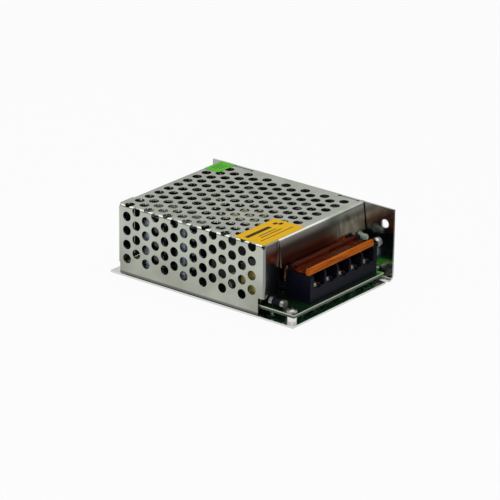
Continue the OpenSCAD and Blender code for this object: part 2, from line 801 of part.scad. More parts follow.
// Clear amber lid: a front bead, a thin panel and a hinge barrel in one moulding
module terminal_lid()
    color([0.82, 0.34, 0.06, 0.75]) union() {
        difference() {
            along_x(lid_x0, lid_x1) union() {
                translate([bead_y0, lid_low]) rounded_square([bead_w, bead_h], bead_r);
                translate([bead_y0 + bead_w - bead_r, lid_low + 0.5])
                    square([hinge_y - bead_y0 - bead_w + bead_r, lid_panel_t]);
                translate([hinge_y, hinge_z]) circle(barrel_r);
            }
            box([lid_x0 + ear_t, hinge_y - lid_lug_clear - 0.4, barrier_z - cut],
                [lid_lug_x0 + lug_t + air, hinge_y + lid_lug_clear, hinge_z + 2 * barrel_r]);
            translate([lid_x0 - cut, hinge_y, hinge_z]) rotate([0, 90, 0])
                cylinder(h = ear_t + 2 * cut, r = pin_r + pin_gap);
        }
        translate([lid_x1 - eps, hinge_y, hinge_z]) rotate([0, 90, 0]) cylinder(h = 1.6, r = pin_r);
    }

// ---------------------------------------------------------------- trimmer and status light

module trimmer_body()
    color([0.2, 0.35, 0.65]) union() {
        difference() {
            along_y(trim_y0, trim_y0 + trim_d) union() {
                translate([trim_x - trim_w / 2, board_z + 0.3]) square([trim_w, rotor_z - board_z]);
                translate([trim_x, rotor_z]) intersection() {
                    circle(trim_w / 2 + 0.4);
                    translate([-trim_w / 2, -1]) square([trim_w, trim_h]);
                }
            }
            translate([trim_x, trim_y0 - cut, rotor_z]) rotate([-90, 0, 0])
                cylinder(h = cut + 1.6, r = rotor_r + pin_gap);
            translate([trim_x, trim_y0, rotor_z]) rotate([-90, 0, 0]) cylinder(h = trim_d + cut, r = 1.05);
        }
        leads(trimmer_leads, board_z + 0.4);
    }

module trimmer_rotor()
    color([0.93, 0.93, 0.88]) translate([trim_x, trim_y0 + 1.5, rotor_z]) rotate([90, 0, 0]) union() {
        difference() {
            cylinder(h = 1.9, r = rotor_r);
            translate([-1.7, -0.35, 1.1]) cube([3.4, 0.7, cut]);
            translate([-0.35, 0, 1.1]) cube([0.7, 1.7, cut]);
        }
        translate([0, 0, -1.4]) cylinder(h = 1.4 + eps, r = 1);
    }

module status_led()
    color([0.8, 0.9, 0.82]) translate([led_x, led_rim_y, led_z]) rotate([90, 0, 0]) union() {
        cylinder(h = 0.8, r = led_rim_r);
        cylinder(h = led_body_l, r = led_r);
        translate([0, 0, led_body_l]) sphere(led_r);
    }

module led_leads()
    color([0.8, 0.8, 0.78]) for (p = led_points) union() {
        box([p[0] - led_lead_t / 2, led_rim_y, led_z - led_lead_t / 2],
            [p[0] + led_lead_t / 2, led_lead_y + led_lead_t / 2, led_z + led_lead_t / 2]);
        box([p[0] - led_lead_t / 2, led_lead_y - led_lead_t / 2, board_z0 - lead_below],
            [p[0] + led_lead_t / 2, led_lead_y + led_lead_t / 2, led_z]);
    }

// ---------------------------------------------------------------- mains input

module fuse_tube()
    color([0.12, 0.12, 0.13]) translate([fuse_x, fuse_y0 + fuse_l - fuse_cap_l, fuse_z]) rotate([90, 0, 0])
        cylinder(h = fuse_l - 2 * fuse_cap_l, r = fuse_r);

// End caps, each with its lead
module fuse_caps()
    color([0.85, 0.85, 0.82]) for (y = [fuse_y0, fuse_y0 + fuse_l - fuse_cap_l]) union() {
        translate([fuse_x, y + fuse_cap_l, fuse_z]) rotate([90, 0, 0]) cylinder(h = fuse_cap_l, r = fuse_cap_r);
        leads([[fuse_x, y + fuse_cap_l / 2]], fuse_z - fuse_cap_r + 0.4);
    }

// Disc with rounded rims, standing on two leads; its face looks along X
module disc_part(r, t)
    rotate_extrude() union() {
        square([r - t / 2, t]);
        translate([r - t / 2, t / 2]) circle(t / 2);
    }

module varistor()
    color([0.9, 0.72, 0.12]) union() {
        translate([varistor_x, varistor_y, varistor_z]) rotate([0, 90, 0])
            disc_part(varistor_d / 2, varistor_t);
        leads(varistor_leads, varistor_z - varistor_d / 2 + 1.8);
    }

module x_capacitor()
    color([0.88, 0.7, 0.16]) union() {
        translate([xcap_x, xcap_y, board_z]) along_z(0, xcap_h) rounded_square([xcap_t, xcap_l], 0.8);
        leads(xcap_leads, board_z + eps);
    }

module filter_core()
    color([0.2, 0.2, 0.21]) along_x(filter_x - filter_leg / 2, filter_x + filter_leg / 2)
        translate([filter_y - filter_w / 2, board_z + filter_feet]) difference() {
            square([filter_w, filter_h]);
            translate([filter_leg, filter_leg]) square([filter_w - 2 * filter_leg, filter_h - 2 * filter_leg]);
        }

// Two coils, one on each upright leg of the filter's core
module filter_coils()
    color([0.72, 0.36, 0.14]) for (s = [-1, 1])
        translate([
            filter_x,
            filter_y + s * (filter_w - filter_leg) / 2,
            board_z + filter_feet + filter_leg + air
        ])
            difference() {
                union() {
                    cylinder(h = filter_h - 2 * filter_leg - 2 * air, r = filter_coil_r - 0.5);
                    for (z = [0 : filter_h - 2 * filter_leg - 2])
                        translate([0, 0, z + 0.2]) cylinder(h = 0.8, r = filter_coil_r);
                }
                translate([-filter_leg / 2 - slip, -filter_leg / 2 - slip, -cut])
                    cube([filter_leg + 2 * slip, filter_leg + 2 * slip, filter_h]);
            }

module thermistor()
    color([0.16, 0.3, 0.2]) union() {
        translate([thermistor_x - thermistor_t / 2, thermistor_y, board_z + thermistor_r + 2]) rotate([0, 90, 0])
            disc_part(thermistor_r, thermistor_t);
        leads(thermistor_leads, board_z + 3.9);
    }

module bridge_rectifier()
    color([0.1, 0.1, 0.11]) union() {
        translate([bridge_x - bridge_t / 2, bridge_y, board_z + 2]) along_x(0, bridge_t)
            polygon([
                [-bridge_l / 2, 0],
                [bridge_l / 2, 0],
                [bridge_l / 2, bridge_h],
                [-bridge_l / 2 + 2.5, bridge_h],
                [-bridge_l / 2, bridge_h - 2.5]
            ]);
        leads(bridge_leads, board_z + 2 + eps);
    }

module bulk_capacitors()
    color([0.1, 0.11, 0.2]) union() {
        for (y = bulk_ys)
            translate([bulk_x, y, board_z]) can_capacitor(bulk_d / 2, bulk_h);
        leads(bulk_leads, board_z + eps);
    }

// ---------------------------------------------------------------- transformer

// Ferrite core: a frame with a centre leg through the winding
module transformer_core()
    color([0.22, 0.22, 0.23]) translate([xfmr_x, xfmr_y, xfmr_z - core_h / 2]) along_z(0, core_h)
        difference() {
            translate([-core_l / 2, -core_w / 2]) square([core_l, core_w]);
            for (s = [0, 1])
                mirror([0, s]) translate([-core_l / 2 + core_end, core_leg / 2])
                    square([core_l - 2 * core_end, core_w / 2 - core_leg / 2 - core_outer]);
        }

// Bobbin: a square tube with a flange at each end that stands on the board
module transformer_bobbin()
    color([0.13, 0.13, 0.13]) union() {
        difference() {
            translate([xfmr_x, xfmr_y, 0]) union() {
                box([-bobbin_l / 2, -tube_w / 2, xfmr_z - tube_h / 2],
                    [bobbin_l / 2, tube_w / 2, xfmr_z + tube_h / 2]);
                for (s = [-1, 1])
                    translate([s * (bobbin_l - bobbin_t) / 2, 0, 0])
                        box([-bobbin_t / 2, -bobbin_w / 2, board_z],
                            [bobbin_t / 2, bobbin_w / 2, xfmr_z + flange_h / 2]);
            }
            translate([xfmr_x, xfmr_y, xfmr_z])
                cube([core_l, core_leg + 2 * slip, core_h + 2 * slip], center = true);
        }
        leads(bobbin_leads, board_z + eps);
    }

// Winding under its yellow tape
module transformer_winding()
    color([0.92, 0.78, 0.2]) translate([xfmr_x, xfmr_y, xfmr_z])
        along_x(-bobbin_l / 2 + bobbin_t + slip, bobbin_l / 2 - bobbin_t - slip) difference() {
            translate([-bobbin_w / 2 + slip, -winding_h / 2])
                rounded_square([bobbin_w - 2 * slip, winding_h], winding_r);
            square([tube_w + 2 * slip, tube_h + 2 * slip], center = true);
        }

// ---------------------------------------------------------------- power semiconductors on the wall

// Package with a metal tab; its back is at x = 0 and its middle at y = 0
module power_device(y, lead_points)
    union() {
        translate([device_x, y, device_z]) union() {
            difference() {
                box([-tab_t, -tab_w / 2, 0], [0, tab_w / 2, tab_h]);
                translate([-tab_t - cut, 0, device_hole_z - device_z]) rotate([0, 90, 0])
                    cylinder(h = tab_t + 2 * cut, r = m3_hole_r + slip);
            }
            box([-moulding_t, -tab_w / 2, 0], [-tab_t + eps, tab_w / 2, moulding_h]);
        }
        leads(lead_points, device_z + eps);
    }

module switch_transistor()
    color([0.12, 0.12, 0.13]) power_device(switch_y, [for (i = [0 : 2]) device_leads[i]]);

module output_diode()
    color([0.12, 0.12, 0.13]) power_device(diode_y, [for (i = [3 : 5]) device_leads[i]]);

module insulating_pads()
    color([0.75, 0.72, 0.7]) for (y = [switch_y, diode_y])
        translate([wall_in, y, device_z - 1]) difference() {
            box([-pad_t, -pad_w / 2, 0], [0, pad_w / 2, pad_h]);
            translate([-pad_t - cut, 0, device_hole_z - device_z + 1]) rotate([0, 90, 0])
                cylinder(h = pad_t + 2 * cut, r = m3_hole_r + slip);
        }

module transistor_screws()
    color([0.8, 0.8, 0.78]) for (y = [switch_y, diode_y])
        translate([device_x - tab_t, y, device_hole_z]) rotate([0, -90, 0]) pan_screw(tab_t + pad_t + base_t);

// ---------------------------------------------------------------- output filter

// Drum of ferrite standing on the board: post, two flanges, the lower one bored for the coil's ends
module output_choke_core()
    color([0.2, 0.2, 0.21]) difference() {
        translate([choke_x, choke_y, board_z]) union() {
            cylinder(h = choke_flange_t, r = choke_r);
            cylinder(h = choke_h, r = choke_post_r);
            translate([0, 0, choke_h - choke_flange_t]) cylinder(h = choke_flange_t, r = choke_r);
        }
        for (p = choke_leads)
            translate([p[0], p[1], board_z - eps]) cylinder(h = choke_flange_t + 2 * eps, r = lead_r + slip);
    }

// Rows of wire round the drum's post, with the two ends that go down to the board
module output_choke_coil()
    color([0.74, 0.4, 0.18]) union() {
        translate([choke_x, choke_y, board_z + choke_flange_t + slip]) rotate_extrude() {
            translate([choke_post_r + slip, 0]) square([choke_coil_r - choke_post_r - slip, choke_coil_h]);
            for (i = [1 : choke_rows])
                translate([choke_coil_r, i * wire_pitch]) circle(wire_r);
        }
        leads(choke_leads, board_z + choke_flange_t + slip + wire_r);
    }

module output_capacitors()
    color([0.1, 0.12, 0.12]) union() {
        for (p = output_can_points)
            translate([p[0], p[1], board_z]) can_capacitor(output_can_d / 2, output_can_h);
        leads(output_leads, board_z + eps);
    }

// ---------------------------------------------------------------- small parts

module y_capacitor()
    color([0.15, 0.35, 0.6]) union() {
        translate([ycap_points[0], ycap_points[1] + ycap_t / 2, board_z + ycap_r + 2]) rotate([90, 0, 0])
            disc_part(ycap_r, ycap_t);
        leads(ycap_leads, board_z + ycap_r + 1);
    }

// Dual-in-line package: moulded body with a pin-one notch and its leads
module dual_in_line(place, length, points)
    union() {
        difference() {
            translate([place[0] - length / 2, place[1] - 3.2, board_z + 0.5]) cube([length, 6.4, 3.3]);
            translate([place[0] - length / 2, place[1], board_z + 2.8]) cylinder(h = 2, r = 0.8);
        }
        for (p = points)
            translate([p[0] - 0.4, min(p[1], place[1] + (p[1] > place[1] ? 3.1 : 0)) - 0.2, board_z + 1.8])
                cube([0.8, 0.9, 0.3]);
        leads(points, board_z + 2.1);
    }

module optocoupler()
    color([0.85, 0.85, 0.82]) dual_in_line(opto_points, 4.8, opto_leads);

module control_chip()
    color([0.1, 0.1, 0.11]) dual_in_line(chip_points, 9.6, chip_leads);

module resistors()
    color([0.55, 0.72, 0.75]) for (i = [0 : len(resistor_points) - 1])
        translate([resistor_points[i][0], 0, 0]) union() {
            translate([0, resistor_points[i][1] + resistor_l / 2, board_z + 1.5]) rotate([90, 0, 0])
                cylinder(h = resistor_l, r = resistor_r);
            translate([0, resistor_points[i][1] + resistor_l / 2 + 1.5 + lead_r, board_z + 1.5]) rotate([90, 0, 0])
                cylinder(h = resistor_l + 3 + 2 * lead_r, r = lead_r);
            for (s = [-1, 1])
                leads([[0, resistor_points[i][1] + s * (resistor_l + 3) / 2]], board_z + 1.5);
        }

module small_capacitors()
    color([0.12, 0.14, 0.3]) union() {
        for (p = small_can_points)
            translate([p[0], p[1], board_z]) can_capacitor(small_can_r, small_can_h);
        leads(small_can_leads, board_z + eps);
    }

// ---------------------------------------------------------------- labels

module front_label()
    color([0.93, 0.72, 0.15]) translate([front_label_x, front_label_y, case_h])
        along_z(0, label_t) rounded_square([front_label_w, front_label_l], 0.6);

module rear_label()
    color([0.35, 0.68, 0.25]) translate([rear_label_x, rear_label_y, case_h])
        along_z(0, label_t) rounded_square([rear_label_w, rear_label_l], 0.6);

// ---------------------------------------------------------------- nodes

base_chassis();
mesh_cover();
cover_screws();
earth_screw();
board_posts();
insulating_sheet();
circuit_board();
board_screws();
terminal_block();
terminal_plates();
terminal_lid();
for (i = ways) {
    wire_clamp(i);
    terminal_screw(i);
}
trimmer_body();
trimmer_rotor();
status_led();
led_leads();
fuse_tube();
fuse_caps();
varistor();
x_capacitor();
filter_core();
filter_coils();
thermistor();
bridge_rectifier();
bulk_capacitors();
transformer_core();
transformer_bobbin();
transformer_winding();
switch_transistor();
output_diode();
insulating_pads();
transistor_screws();
output_choke_core();
output_choke_coil();
output_capacitors();
y_capacitor();
optocoupler();
control_chip();
resistors();
small_capacitors();
front_label();
rear_label();
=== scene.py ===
# %% [markdown] # A mesh case power supply The real object is a small mains power supply. Two folded steel
# sheets make its case: a bright base with one solid wall, and a perforated cover. A screw terminal block
# stands in the open front, under a see-through amber lid. The shapes come ready from the CAD model, in
# metres, and every CAD part already sits in its place. So this lesson is about light, finishes and the
# small things that a solid lacks. Its box is kept, because nothing may grow past it.

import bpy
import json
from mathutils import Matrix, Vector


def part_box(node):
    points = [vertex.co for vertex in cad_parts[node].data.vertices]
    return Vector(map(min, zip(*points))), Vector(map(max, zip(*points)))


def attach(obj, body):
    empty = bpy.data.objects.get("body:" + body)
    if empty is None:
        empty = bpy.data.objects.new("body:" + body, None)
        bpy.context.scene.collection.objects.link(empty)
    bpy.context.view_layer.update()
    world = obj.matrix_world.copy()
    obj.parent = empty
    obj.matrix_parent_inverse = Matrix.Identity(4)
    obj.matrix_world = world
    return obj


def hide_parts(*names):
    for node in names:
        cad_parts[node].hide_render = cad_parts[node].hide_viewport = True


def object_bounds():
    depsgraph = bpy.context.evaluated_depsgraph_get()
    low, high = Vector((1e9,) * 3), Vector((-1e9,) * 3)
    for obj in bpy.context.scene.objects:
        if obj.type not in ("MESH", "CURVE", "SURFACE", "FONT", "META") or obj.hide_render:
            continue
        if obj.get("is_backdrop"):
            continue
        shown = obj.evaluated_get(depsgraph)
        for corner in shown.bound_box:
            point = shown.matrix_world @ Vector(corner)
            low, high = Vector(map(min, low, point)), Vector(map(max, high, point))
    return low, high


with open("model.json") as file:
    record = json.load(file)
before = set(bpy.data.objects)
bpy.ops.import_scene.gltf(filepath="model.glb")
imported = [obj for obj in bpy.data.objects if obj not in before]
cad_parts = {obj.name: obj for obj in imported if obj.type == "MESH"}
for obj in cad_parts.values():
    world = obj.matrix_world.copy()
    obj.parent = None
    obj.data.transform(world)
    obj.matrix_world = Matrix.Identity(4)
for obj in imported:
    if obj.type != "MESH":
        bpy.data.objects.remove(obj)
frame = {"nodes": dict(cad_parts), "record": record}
nodes = frame["nodes"]
cad_low, cad_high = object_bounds()
print("size in metres:", [round(side, 4) for side in cad_high - cad_low])

# %% [markdown]
# ## Units and helpers
# Blender works in metres and a case like this is drawn in millimetres, so one small value turns
# one into the other. `bmesh` makes the added pieces, and `math` and `mathutils` place them.

# %% Modules and units
import json
import math

import bmesh
import bpy
from mathutils import Matrix, Vector

MM = 0.001
scene = bpy.context.scene


def box_mm(node):
    """A CAD part's lowest and highest corners at rest, in millimetres."""
    return [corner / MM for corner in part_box(node)]


print("the board's top is", round(box_mm("circuit_board")[1].z, 2), "mm above the floor")

# %% [markdown]
# ## The camera
# A product picture of a small case is taken from far away with a long lens, which keeps its edges almost
# parallel. The camera stands above the corner where the mesh side meets the open front. Its place
# and its three directions were found from the case's corners, so they are written as they came out:
# the matrix's columns are the camera's right, its up and the opposite of where it looks.

# %% Camera
LENS_MM = 239.037
SENSOR_MM = 36
NEAREST, FARTHEST = 0.05, 20
CAMERA_MM = Vector((-1151.666, -908.31, 588.977))
RIGHT = Vector((0.622642, -0.782451, 0.009384))
DOWN = Vector((-0.280448, -0.234333, -0.930826))
FORWARD = Vector((0.730524, 0.57694, -0.365342))

lens = bpy.data.cameras.new("camera")
lens.lens = LENS_MM
lens.sensor_width = SENSOR_MM
lens.clip_start = NEAREST
lens.clip_end = FARTHEST
camera = bpy.data.objects.new("camera", lens)
scene.collection.objects.link(camera)
turn = Matrix((RIGHT, -DOWN, -FORWARD)).transposed()
camera.matrix_world = Matrix.Translation(CAMERA_MM * MM) @ turn.to_4x4()
scene.camera = camera
print("camera height above the floor:", round(camera.location.z, 3), "m, lens:", LENS_MM, "mm")

# %% [markdown]
# ## Shader maths as expressions
# A material is a small program of nodes. Written out one by one the links hide what is meant, so one
# class wraps a node's output: `+`, `-`, `*`, `/`, `<`, `>` and `abs` on it add a Math node. A plain
# number may also stand first, before `+`, `-` or `*`.

# %% Wires between nodes
class Wire:
    """An output of a node; arithmetic on it adds Math nodes beside it."""

    def __init__(self, maker, socket):
        self.maker = maker
        self.socket = socket

    def out(self, name):
        return Wire(self.maker, self.socket.node.outputs[name])

    def maths(self, operation, *values):
        return self.maker.node("Math", {"operation": operation}, dict(enumerate(values)))

    def __add__(self, other):
        return self.maths("ADD", self, other)

    def __sub__(self, other):
        return self.maths("SUBTRACT", self, other)

    def __rsub__(self, other):
        return self.maths("SUBTRACT", other, self)

    def __mul__(self, other):
        return self.maths("MULTIPLY", self, other)

    def __truediv__(self, other):
        return self.maths("DIVIDE", self, other)

    def __gt__(self, other):
        return self.maths("GREATER_THAN", self, other)

    def __lt__(self, other):
        return self.maths("LESS_THAN", self, other)

    def __abs__(self):
        return self.maths("ABSOLUTE", self)

    __radd__ = __add__
    __rmul__ = __mul__

    def larger(self, other):
        return self.maths("MAXIMUM", self, other)

    def root(self):
        return self.maths("SQRT", self)

    def wrap(self, step):
        return self.maths("FLOORED_MODULO", self, step)

    def inside(self, middle, half):
        """1 where the value is within half of middle, else 0."""
        return abs(self - middle) < half

    def ease(self, start, end, low=0.0, high=1.0):
        """Goes smoothly from low at start to high at end."""
        settings = {"interpolation_type": "SMOOTHSTEP"}
        return self.maker.node("MapRange", settings, {0: self, 1: start, 2: end, 3: low, 4: high})


print("operators that also take a number first:", [name for name in vars(Wire) if name.startswith("__r")])

# %% [markdown]
# The world and every material have a node tree, so one class adds nodes to either. Its `node` method makes
# any node: its settings are set first, then its inputs get values or links.

# %% Node trees
class Tree:
    """A node tree in the making."""

    def __init__(self, tree):
        self.tree = tree

    def node(self, kind, settings, inputs, output=0):
        made = self.tree.nodes.new("ShaderNode" + kind)
        for key, value in settings.items():
            if key == "stops":
                self.set_stops(made.color_ramp, value)
            else:
                setattr(made, key, value)
        for key, value in inputs.items():
            if isinstance(value, Wire):
                self.tree.links.new(value.socket, made.inputs[key])
            else:
                made.inputs[key].default_value = value
        return Wire(self, made.outputs[output])

    def set_stops(self, ramp, stops):
        while len(ramp.elements) < len(stops):
            ramp.elements.new(1.0)
        for element, (position, colour) in zip(ramp.elements, stops):
            element.position = position
            element.color = (*colour, 1)

    def split(self, vector):
        parts = self.node("SeparateXYZ", {}, {0: vector})
        return [parts.out(axis) for axis in "XYZ"]


print("a tree can", [name for name in vars(Tree) if not name.startswith("_")])

# %% [markdown]
# A finish is a material's tree with one Principled shader. The patterns read Object coordinates. Every CAD
# part's object sits at the origin, so these are simply places in the case, and they are turned into
# millimetres once. `grain` and `cells` are the two textures that nearly all finishes need, and `blend`
# mixes colours, because a Math node would turn them grey.

# %% Finishes
class Finish(Tree):
    """A material in the making, with its Object coordinates in millimetres."""

    def __init__(self, name, **flat):
        self.material = bpy.data.materials.new(name)
        self.material.use_nodes = True
        super().__init__(self.material.node_tree)
        self.tree.nodes.clear()
        self.output = self.tree.nodes.new("ShaderNodeOutputMaterial")
        self.surface = self.tree.nodes.new("ShaderNodeBsdfPrincipled")
        self.tree.links.new(self.surface.outputs[0], self.output.inputs[0])
        for socket, value in flat.items():
            self.surface.inputs[socket.replace("_", " ")].default_value = value
        place = self.node("TexCoord", {}, {}, "Object")
        self.mm = self.node("VectorMath", {"operation": "SCALE"}, {0: place, "Scale": 1 / MM})
        self.x, self.y, self.z = self.split(self.mm)
        self.facing = self.split(self.node("NewGeometry", {}, {}, "Normal"))

    def distance(self, x, y):
        """How far it is to the upright line through x, y."""
        across, along = self.x - x, self.y - y
        return (across * across + along * along).root()

    def stretched(self, across, along, up):
        """The place with each axis multiplied, so that a texture is drawn out along the smallest."""
        return self.node("VectorMath", {"operation": "MULTIPLY"}, {0: self.mm, 1: (across, along, up)})

    def grain(self, size, detail=2.0, place=None):
        """Soft noise from 0 to 1 with spots about size millimetres across."""
        inputs = {"Vector": place or self.mm, "Scale": 1 / size, "Detail": detail}
        return self.node("TexNoise", {}, inputs, "Fac")

    def cells(self, size, feature="F1"):
        """The distance to the middle of the nearest of many cells of that size."""
        inputs = {"Vector": self.mm, "Scale": 1 / size}
        return self.node("TexVoronoi", {"feature": feature}, inputs, "Distance")

    def blend(self, amount, first, second):
        colours = [(*c, 1) if isinstance(c, tuple) else c for c in (first, second)]
        return self.node("Mix", {"data_type": "RGBA"}, {0: amount, 6: colours[0], 7: colours[1]}, 2)

    def ramp(self, value, *stops):
        return self.node("ValToRGB", {"stops": stops}, {0: value}, "Color")

    def paint(self, **wires):
        """Links wires to the surface's sockets, named as on the shader with _ for a space."""
        for socket, wire in wires.items():
            self.tree.links.new(wire.socket, self.surface.inputs[socket.replace("_", " ")])
        return self

    def bump(self, height, depth_mm, strength=1.0):
        """Turns a height from 0 to 1 into dents that deep."""
        inputs = {"Height": height, "Distance": depth_mm * MM, "Strength": strength}
        return self.paint(Normal=self.node("Bump", {}, inputs, "Normal"))

    def mix_shader(self, amount, other):
        """Mixes another shader over the surface."""
        own = Wire(self, self.surface.outputs[0])
        mixed = self.node("MixShader", {}, {0: amount, 1: own, 2: other})
        self.tree.links.new(mixed.socket, self.output.inputs[0])


finishes = {}
print("a finish can also", [name for name in vars(Finish) if not name.startswith("_")])

# %% [markdown]
# ## Floor
# The Standard view shows a colour as it is written, where the usual filmic view would grey it.
# The case stands on one wide, plain grid.

# %% Floor
FLOOR_HALF = 6.0
scene.view_settings.view_transform = "Standard"
floor_mesh = bmesh.new()
bmesh.ops.create_grid(floor_mesh, x_segments=1, y_segments=1, size=FLOOR_HALF)
floor_data = bpy.data.meshes.new("floor")
floor_mesh.to_mesh(floor_data)
floor_mesh.free()
floor = bpy.data.objects.new("floor", floor_data)
scene.collection.objects.link(floor)
floor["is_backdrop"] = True
print("floor:", 2 * FLOOR_HALF, "m wide")

# %% [markdown]
# The floor is pale to the eye, but it keeps the shadow: its shader mixes matt paint with a white glow, for
# rays that come from the camera, from gloss or through clear plastic, and a little of the paint is
# left there too. Metal would mirror an endless white floor as one flat tone. So in reflections the glow
# fades far from the case, and it is dim in one round spot beside the open front, as if something
# dark stood there. The eye doesn't see the spot.

# %% Floor paint
FADE_MM = (200.0, 700.0)
FAR_GLOW = 0.25
SPOT_PLACE_MM = (110.0, -160.0)
SPOT_RADII_MM = (70.0, 150.0)
SPOT_GLOW = 0.08
GLOW_SHARE = 0.92


def seen_directly(finish):
    """1 for rays from the camera, from gloss and through glass."""
    rays = finish.node("LightPath", {}, {}, "Is Camera Ray")
    return rays.larger(rays.out("Is Glossy Ray").larger(rays.out("Is Transmission Ray")))


paper = Finish("paper", Roughness=0.9)
paper.paint(Base_Color=paper.blend(paper.grain(40.0), (0.80, 0.80, 0.80), (0.84, 0.84, 0.84)))
spot = paper.distance(*SPOT_PLACE_MM).ease(*SPOT_RADII_MM, SPOT_GLOW, 1.0)
mirrored = spot * paper.distance(0.0, 0.0).ease(*FADE_MM, 1.0, FAR_GLOW)
camera_ray = paper.node("LightPath", {}, {}, "Is Camera Ray")
glow_inputs = {"Color": (1, 1, 1, 1), "Strength": mirrored.larger(camera_ray)}
glow = paper.node("Emission", {}, glow_inputs)
paper.mix_shader(seen_directly(paper) * GLOW_SHARE, glow)
floor_data.materials.append(paper.material)
print("in reflections the floor glows from", SPOT_GLOW, "to 1.0 near the case")

# %% [markdown]
# ## World
# The camera sees plain white, also through clear plastic. Matt surfaces get a weak, even light. Gloss gets
# a sky that is dark at the horizon and bright high up, which gives sheet metal its soft change of
# tone from face to face.

# %% World
MATT_LIGHT = 0.28
HORIZON, HIGH_SKY = 0.02, 0.53
HORIZON_LIGHT, HIGH_LIGHT = 0.10, 1.03

world = bpy.data.worlds.new("studio")
scene.world = world
world.use_nodes = True
background = world.node_tree.nodes["Background"]
background.inputs["Color"].default_value = (1, 1, 1, 1)
sky = Tree(world.node_tree)
altitude = sky.split(sky.node("TexCoord", {}, {}, "Generated"))[2]
soft = altitude.ease(HORIZON, HIGH_SKY, HORIZON_LIGHT, HIGH_LIGHT)
rays = sky.node("LightPath", {}, {}, "Is Camera Ray")
lit = sky.node("MapRange", {}, {0: rays.out("Is Glossy Ray"), 3: MATT_LIGHT, 4: soft})
seen = rays.larger(rays.out("Is Transmission Ray"))
brightness = sky.node("MapRange", {}, {0: seen, 3: lit, 4: 1.0})
sky.tree.links.new(brightness.socket, background.inputs["Strength"])
print("sky nodes:", len(sky.tree.nodes))

# %% [markdown]
# ## Lamps
# Two square panels light the case at a plain level, at which a colour comes out about as it is written.
# The key light is wide and hangs nearly overhead, a little to the mesh side, so the top is brighter than
# the sides and the shadow stays close. A weak fill stands low before the near corner.

# %% Lamps
def lamp(name, direction, distance, size, power):
    """A square soft light that looks at the middle of the case."""
    light = bpy.data.lights.new(name, "AREA")
    light.size = size
    light.energy = power
    panel = bpy.data.objects.new(name, light)
    aim = (cad_low + cad_high) / 2
    panel.location = aim + Vector(direction).normalized() * distance
    panel.rotation_euler = (aim - panel.location).to_track_quat("-Z", "Y").to_euler()
    scene.collection.objects.link(panel)
    return panel


lamps = [
    lamp("key", (-0.25, 0.05, 1.0), distance=1.2, size=2.0, power=14.0),
    lamp("fill", (-0.9, -0.8, 0.55), distance=1.3, size=1.0, power=1.0),
]
print("lamps:", {panel.name: panel.data.energy for panel in lamps})

# %% [markdown]
# ## Galvanised cover sheet
# The cover is thin zinc-coated steel. Such sheet isn't polished: it has faint cloudy spangle, fine lines
# from the rolls, and rubbed spots where it was handled. So colour, roughness and a very shallow bump
# change together, each from its own scale of noise, and the metal stays a metal all over.

# %% Cover sheet
zinc = Finish("galvanised_sheet", Metallic=1.0)
cloud = zinc.grain(9.0, 3.0)
rolled = zinc.grain(1.0, 3.0, zinc.stretched(6.0, 0.25, 6.0))
spangle = zinc.cells(2.2)
rubs = zinc.grain(4.0, 6.0).ease(0.56, 0.72)
tone = zinc.blend(cloud.ease(0.3, 0.7), (0.36, 0.385, 0.325), (0.445, 0.47, 0.40))
tone = zinc.blend(spangle * 0.2, tone, (0.50, 0.51, 0.46))
tone = zinc.blend(rubs * 0.3, tone, (0.55, 0.55, 0.50))
print("the sheet's own tone takes", len(zinc.tree.nodes), "nodes")

# %% [markdown]
# The mesh side gets painted shade towards its foot: duller and warmer, most of all near both ends. A
# painted highlight makes it paler towards the fold, and a painted shadow line runs along its lower edge.
# `facing` picks the side: its surface looks along -X. Each pair of numbers is where a change starts and
# where it is complete, in millimetres.

# %% Mesh side of the cover
SHADED_FOOT_Z = (24.0, 4.0)
HIGHLIGHT_FOLD_Z = (10.0, 28.0)
FRONT_END_Y = (-24.0, -34.0)
REAR_END_Y = (40.0, 50.0)
SHADOW_LINE_Z = (2.7, 2.0)

side = zinc.facing[0] < -0.5
patches = zinc.grain(24.0, 1.0).ease(0.35, 0.65) * 0.3
foot_shade_amount = patches + zinc.y.ease(*FRONT_END_Y) * 0.3 + zinc.y.ease(*REAR_END_Y) * 0.3
# painted shade: darker and warmer towards the foot, stronger in patches and near both ends
tone = zinc.blend(side * zinc.z.ease(*SHADED_FOOT_Z) * (0.2 + foot_shade_amount), tone, (0.245, 0.24, 0.195))
# painted highlight: paler towards the fold
tone = zinc.blend(side * zinc.z.ease(*HIGHLIGHT_FOLD_Z) * 0.28, tone, (0.58, 0.61, 0.54))
# painted shadow line along the lower edge
shadow_line = side * zinc.z.ease(*SHADOW_LINE_Z) * 0.75
print("the side's dull foot ends", SHADED_FOOT_Z[0], "mm up")

# %% [markdown]
# The front flange leans over the lid and the black block. In a real room it shows their brown and black,
# and the pale studio here gives too little of that. So a painted reflection browns the flange's colour,
# most of all away from the solid wall, with upright streaks, a painted dark band near the wall and a
# painted highlight along the fold. The small corner flange beside it stays grey.

# %% Front flange of the cover
REFLECTION_FADES_X = (4.0, 18.0)
FOLD_HIGHLIGHT_X = (14.0, 4.0)
FOLD_HIGHLIGHT_Z = (30.8, 35.0)
REFLECTION_BAND_TOP_Z = (34.4, 32.8)
REFLECTION_BAND_FOOT_Z = (29.0, 31.8)
CORNER_X = -28.0
CORNER_FADE = 3.0
CORNER_HIGHLIGHT_Z = (34.8, 36.3)

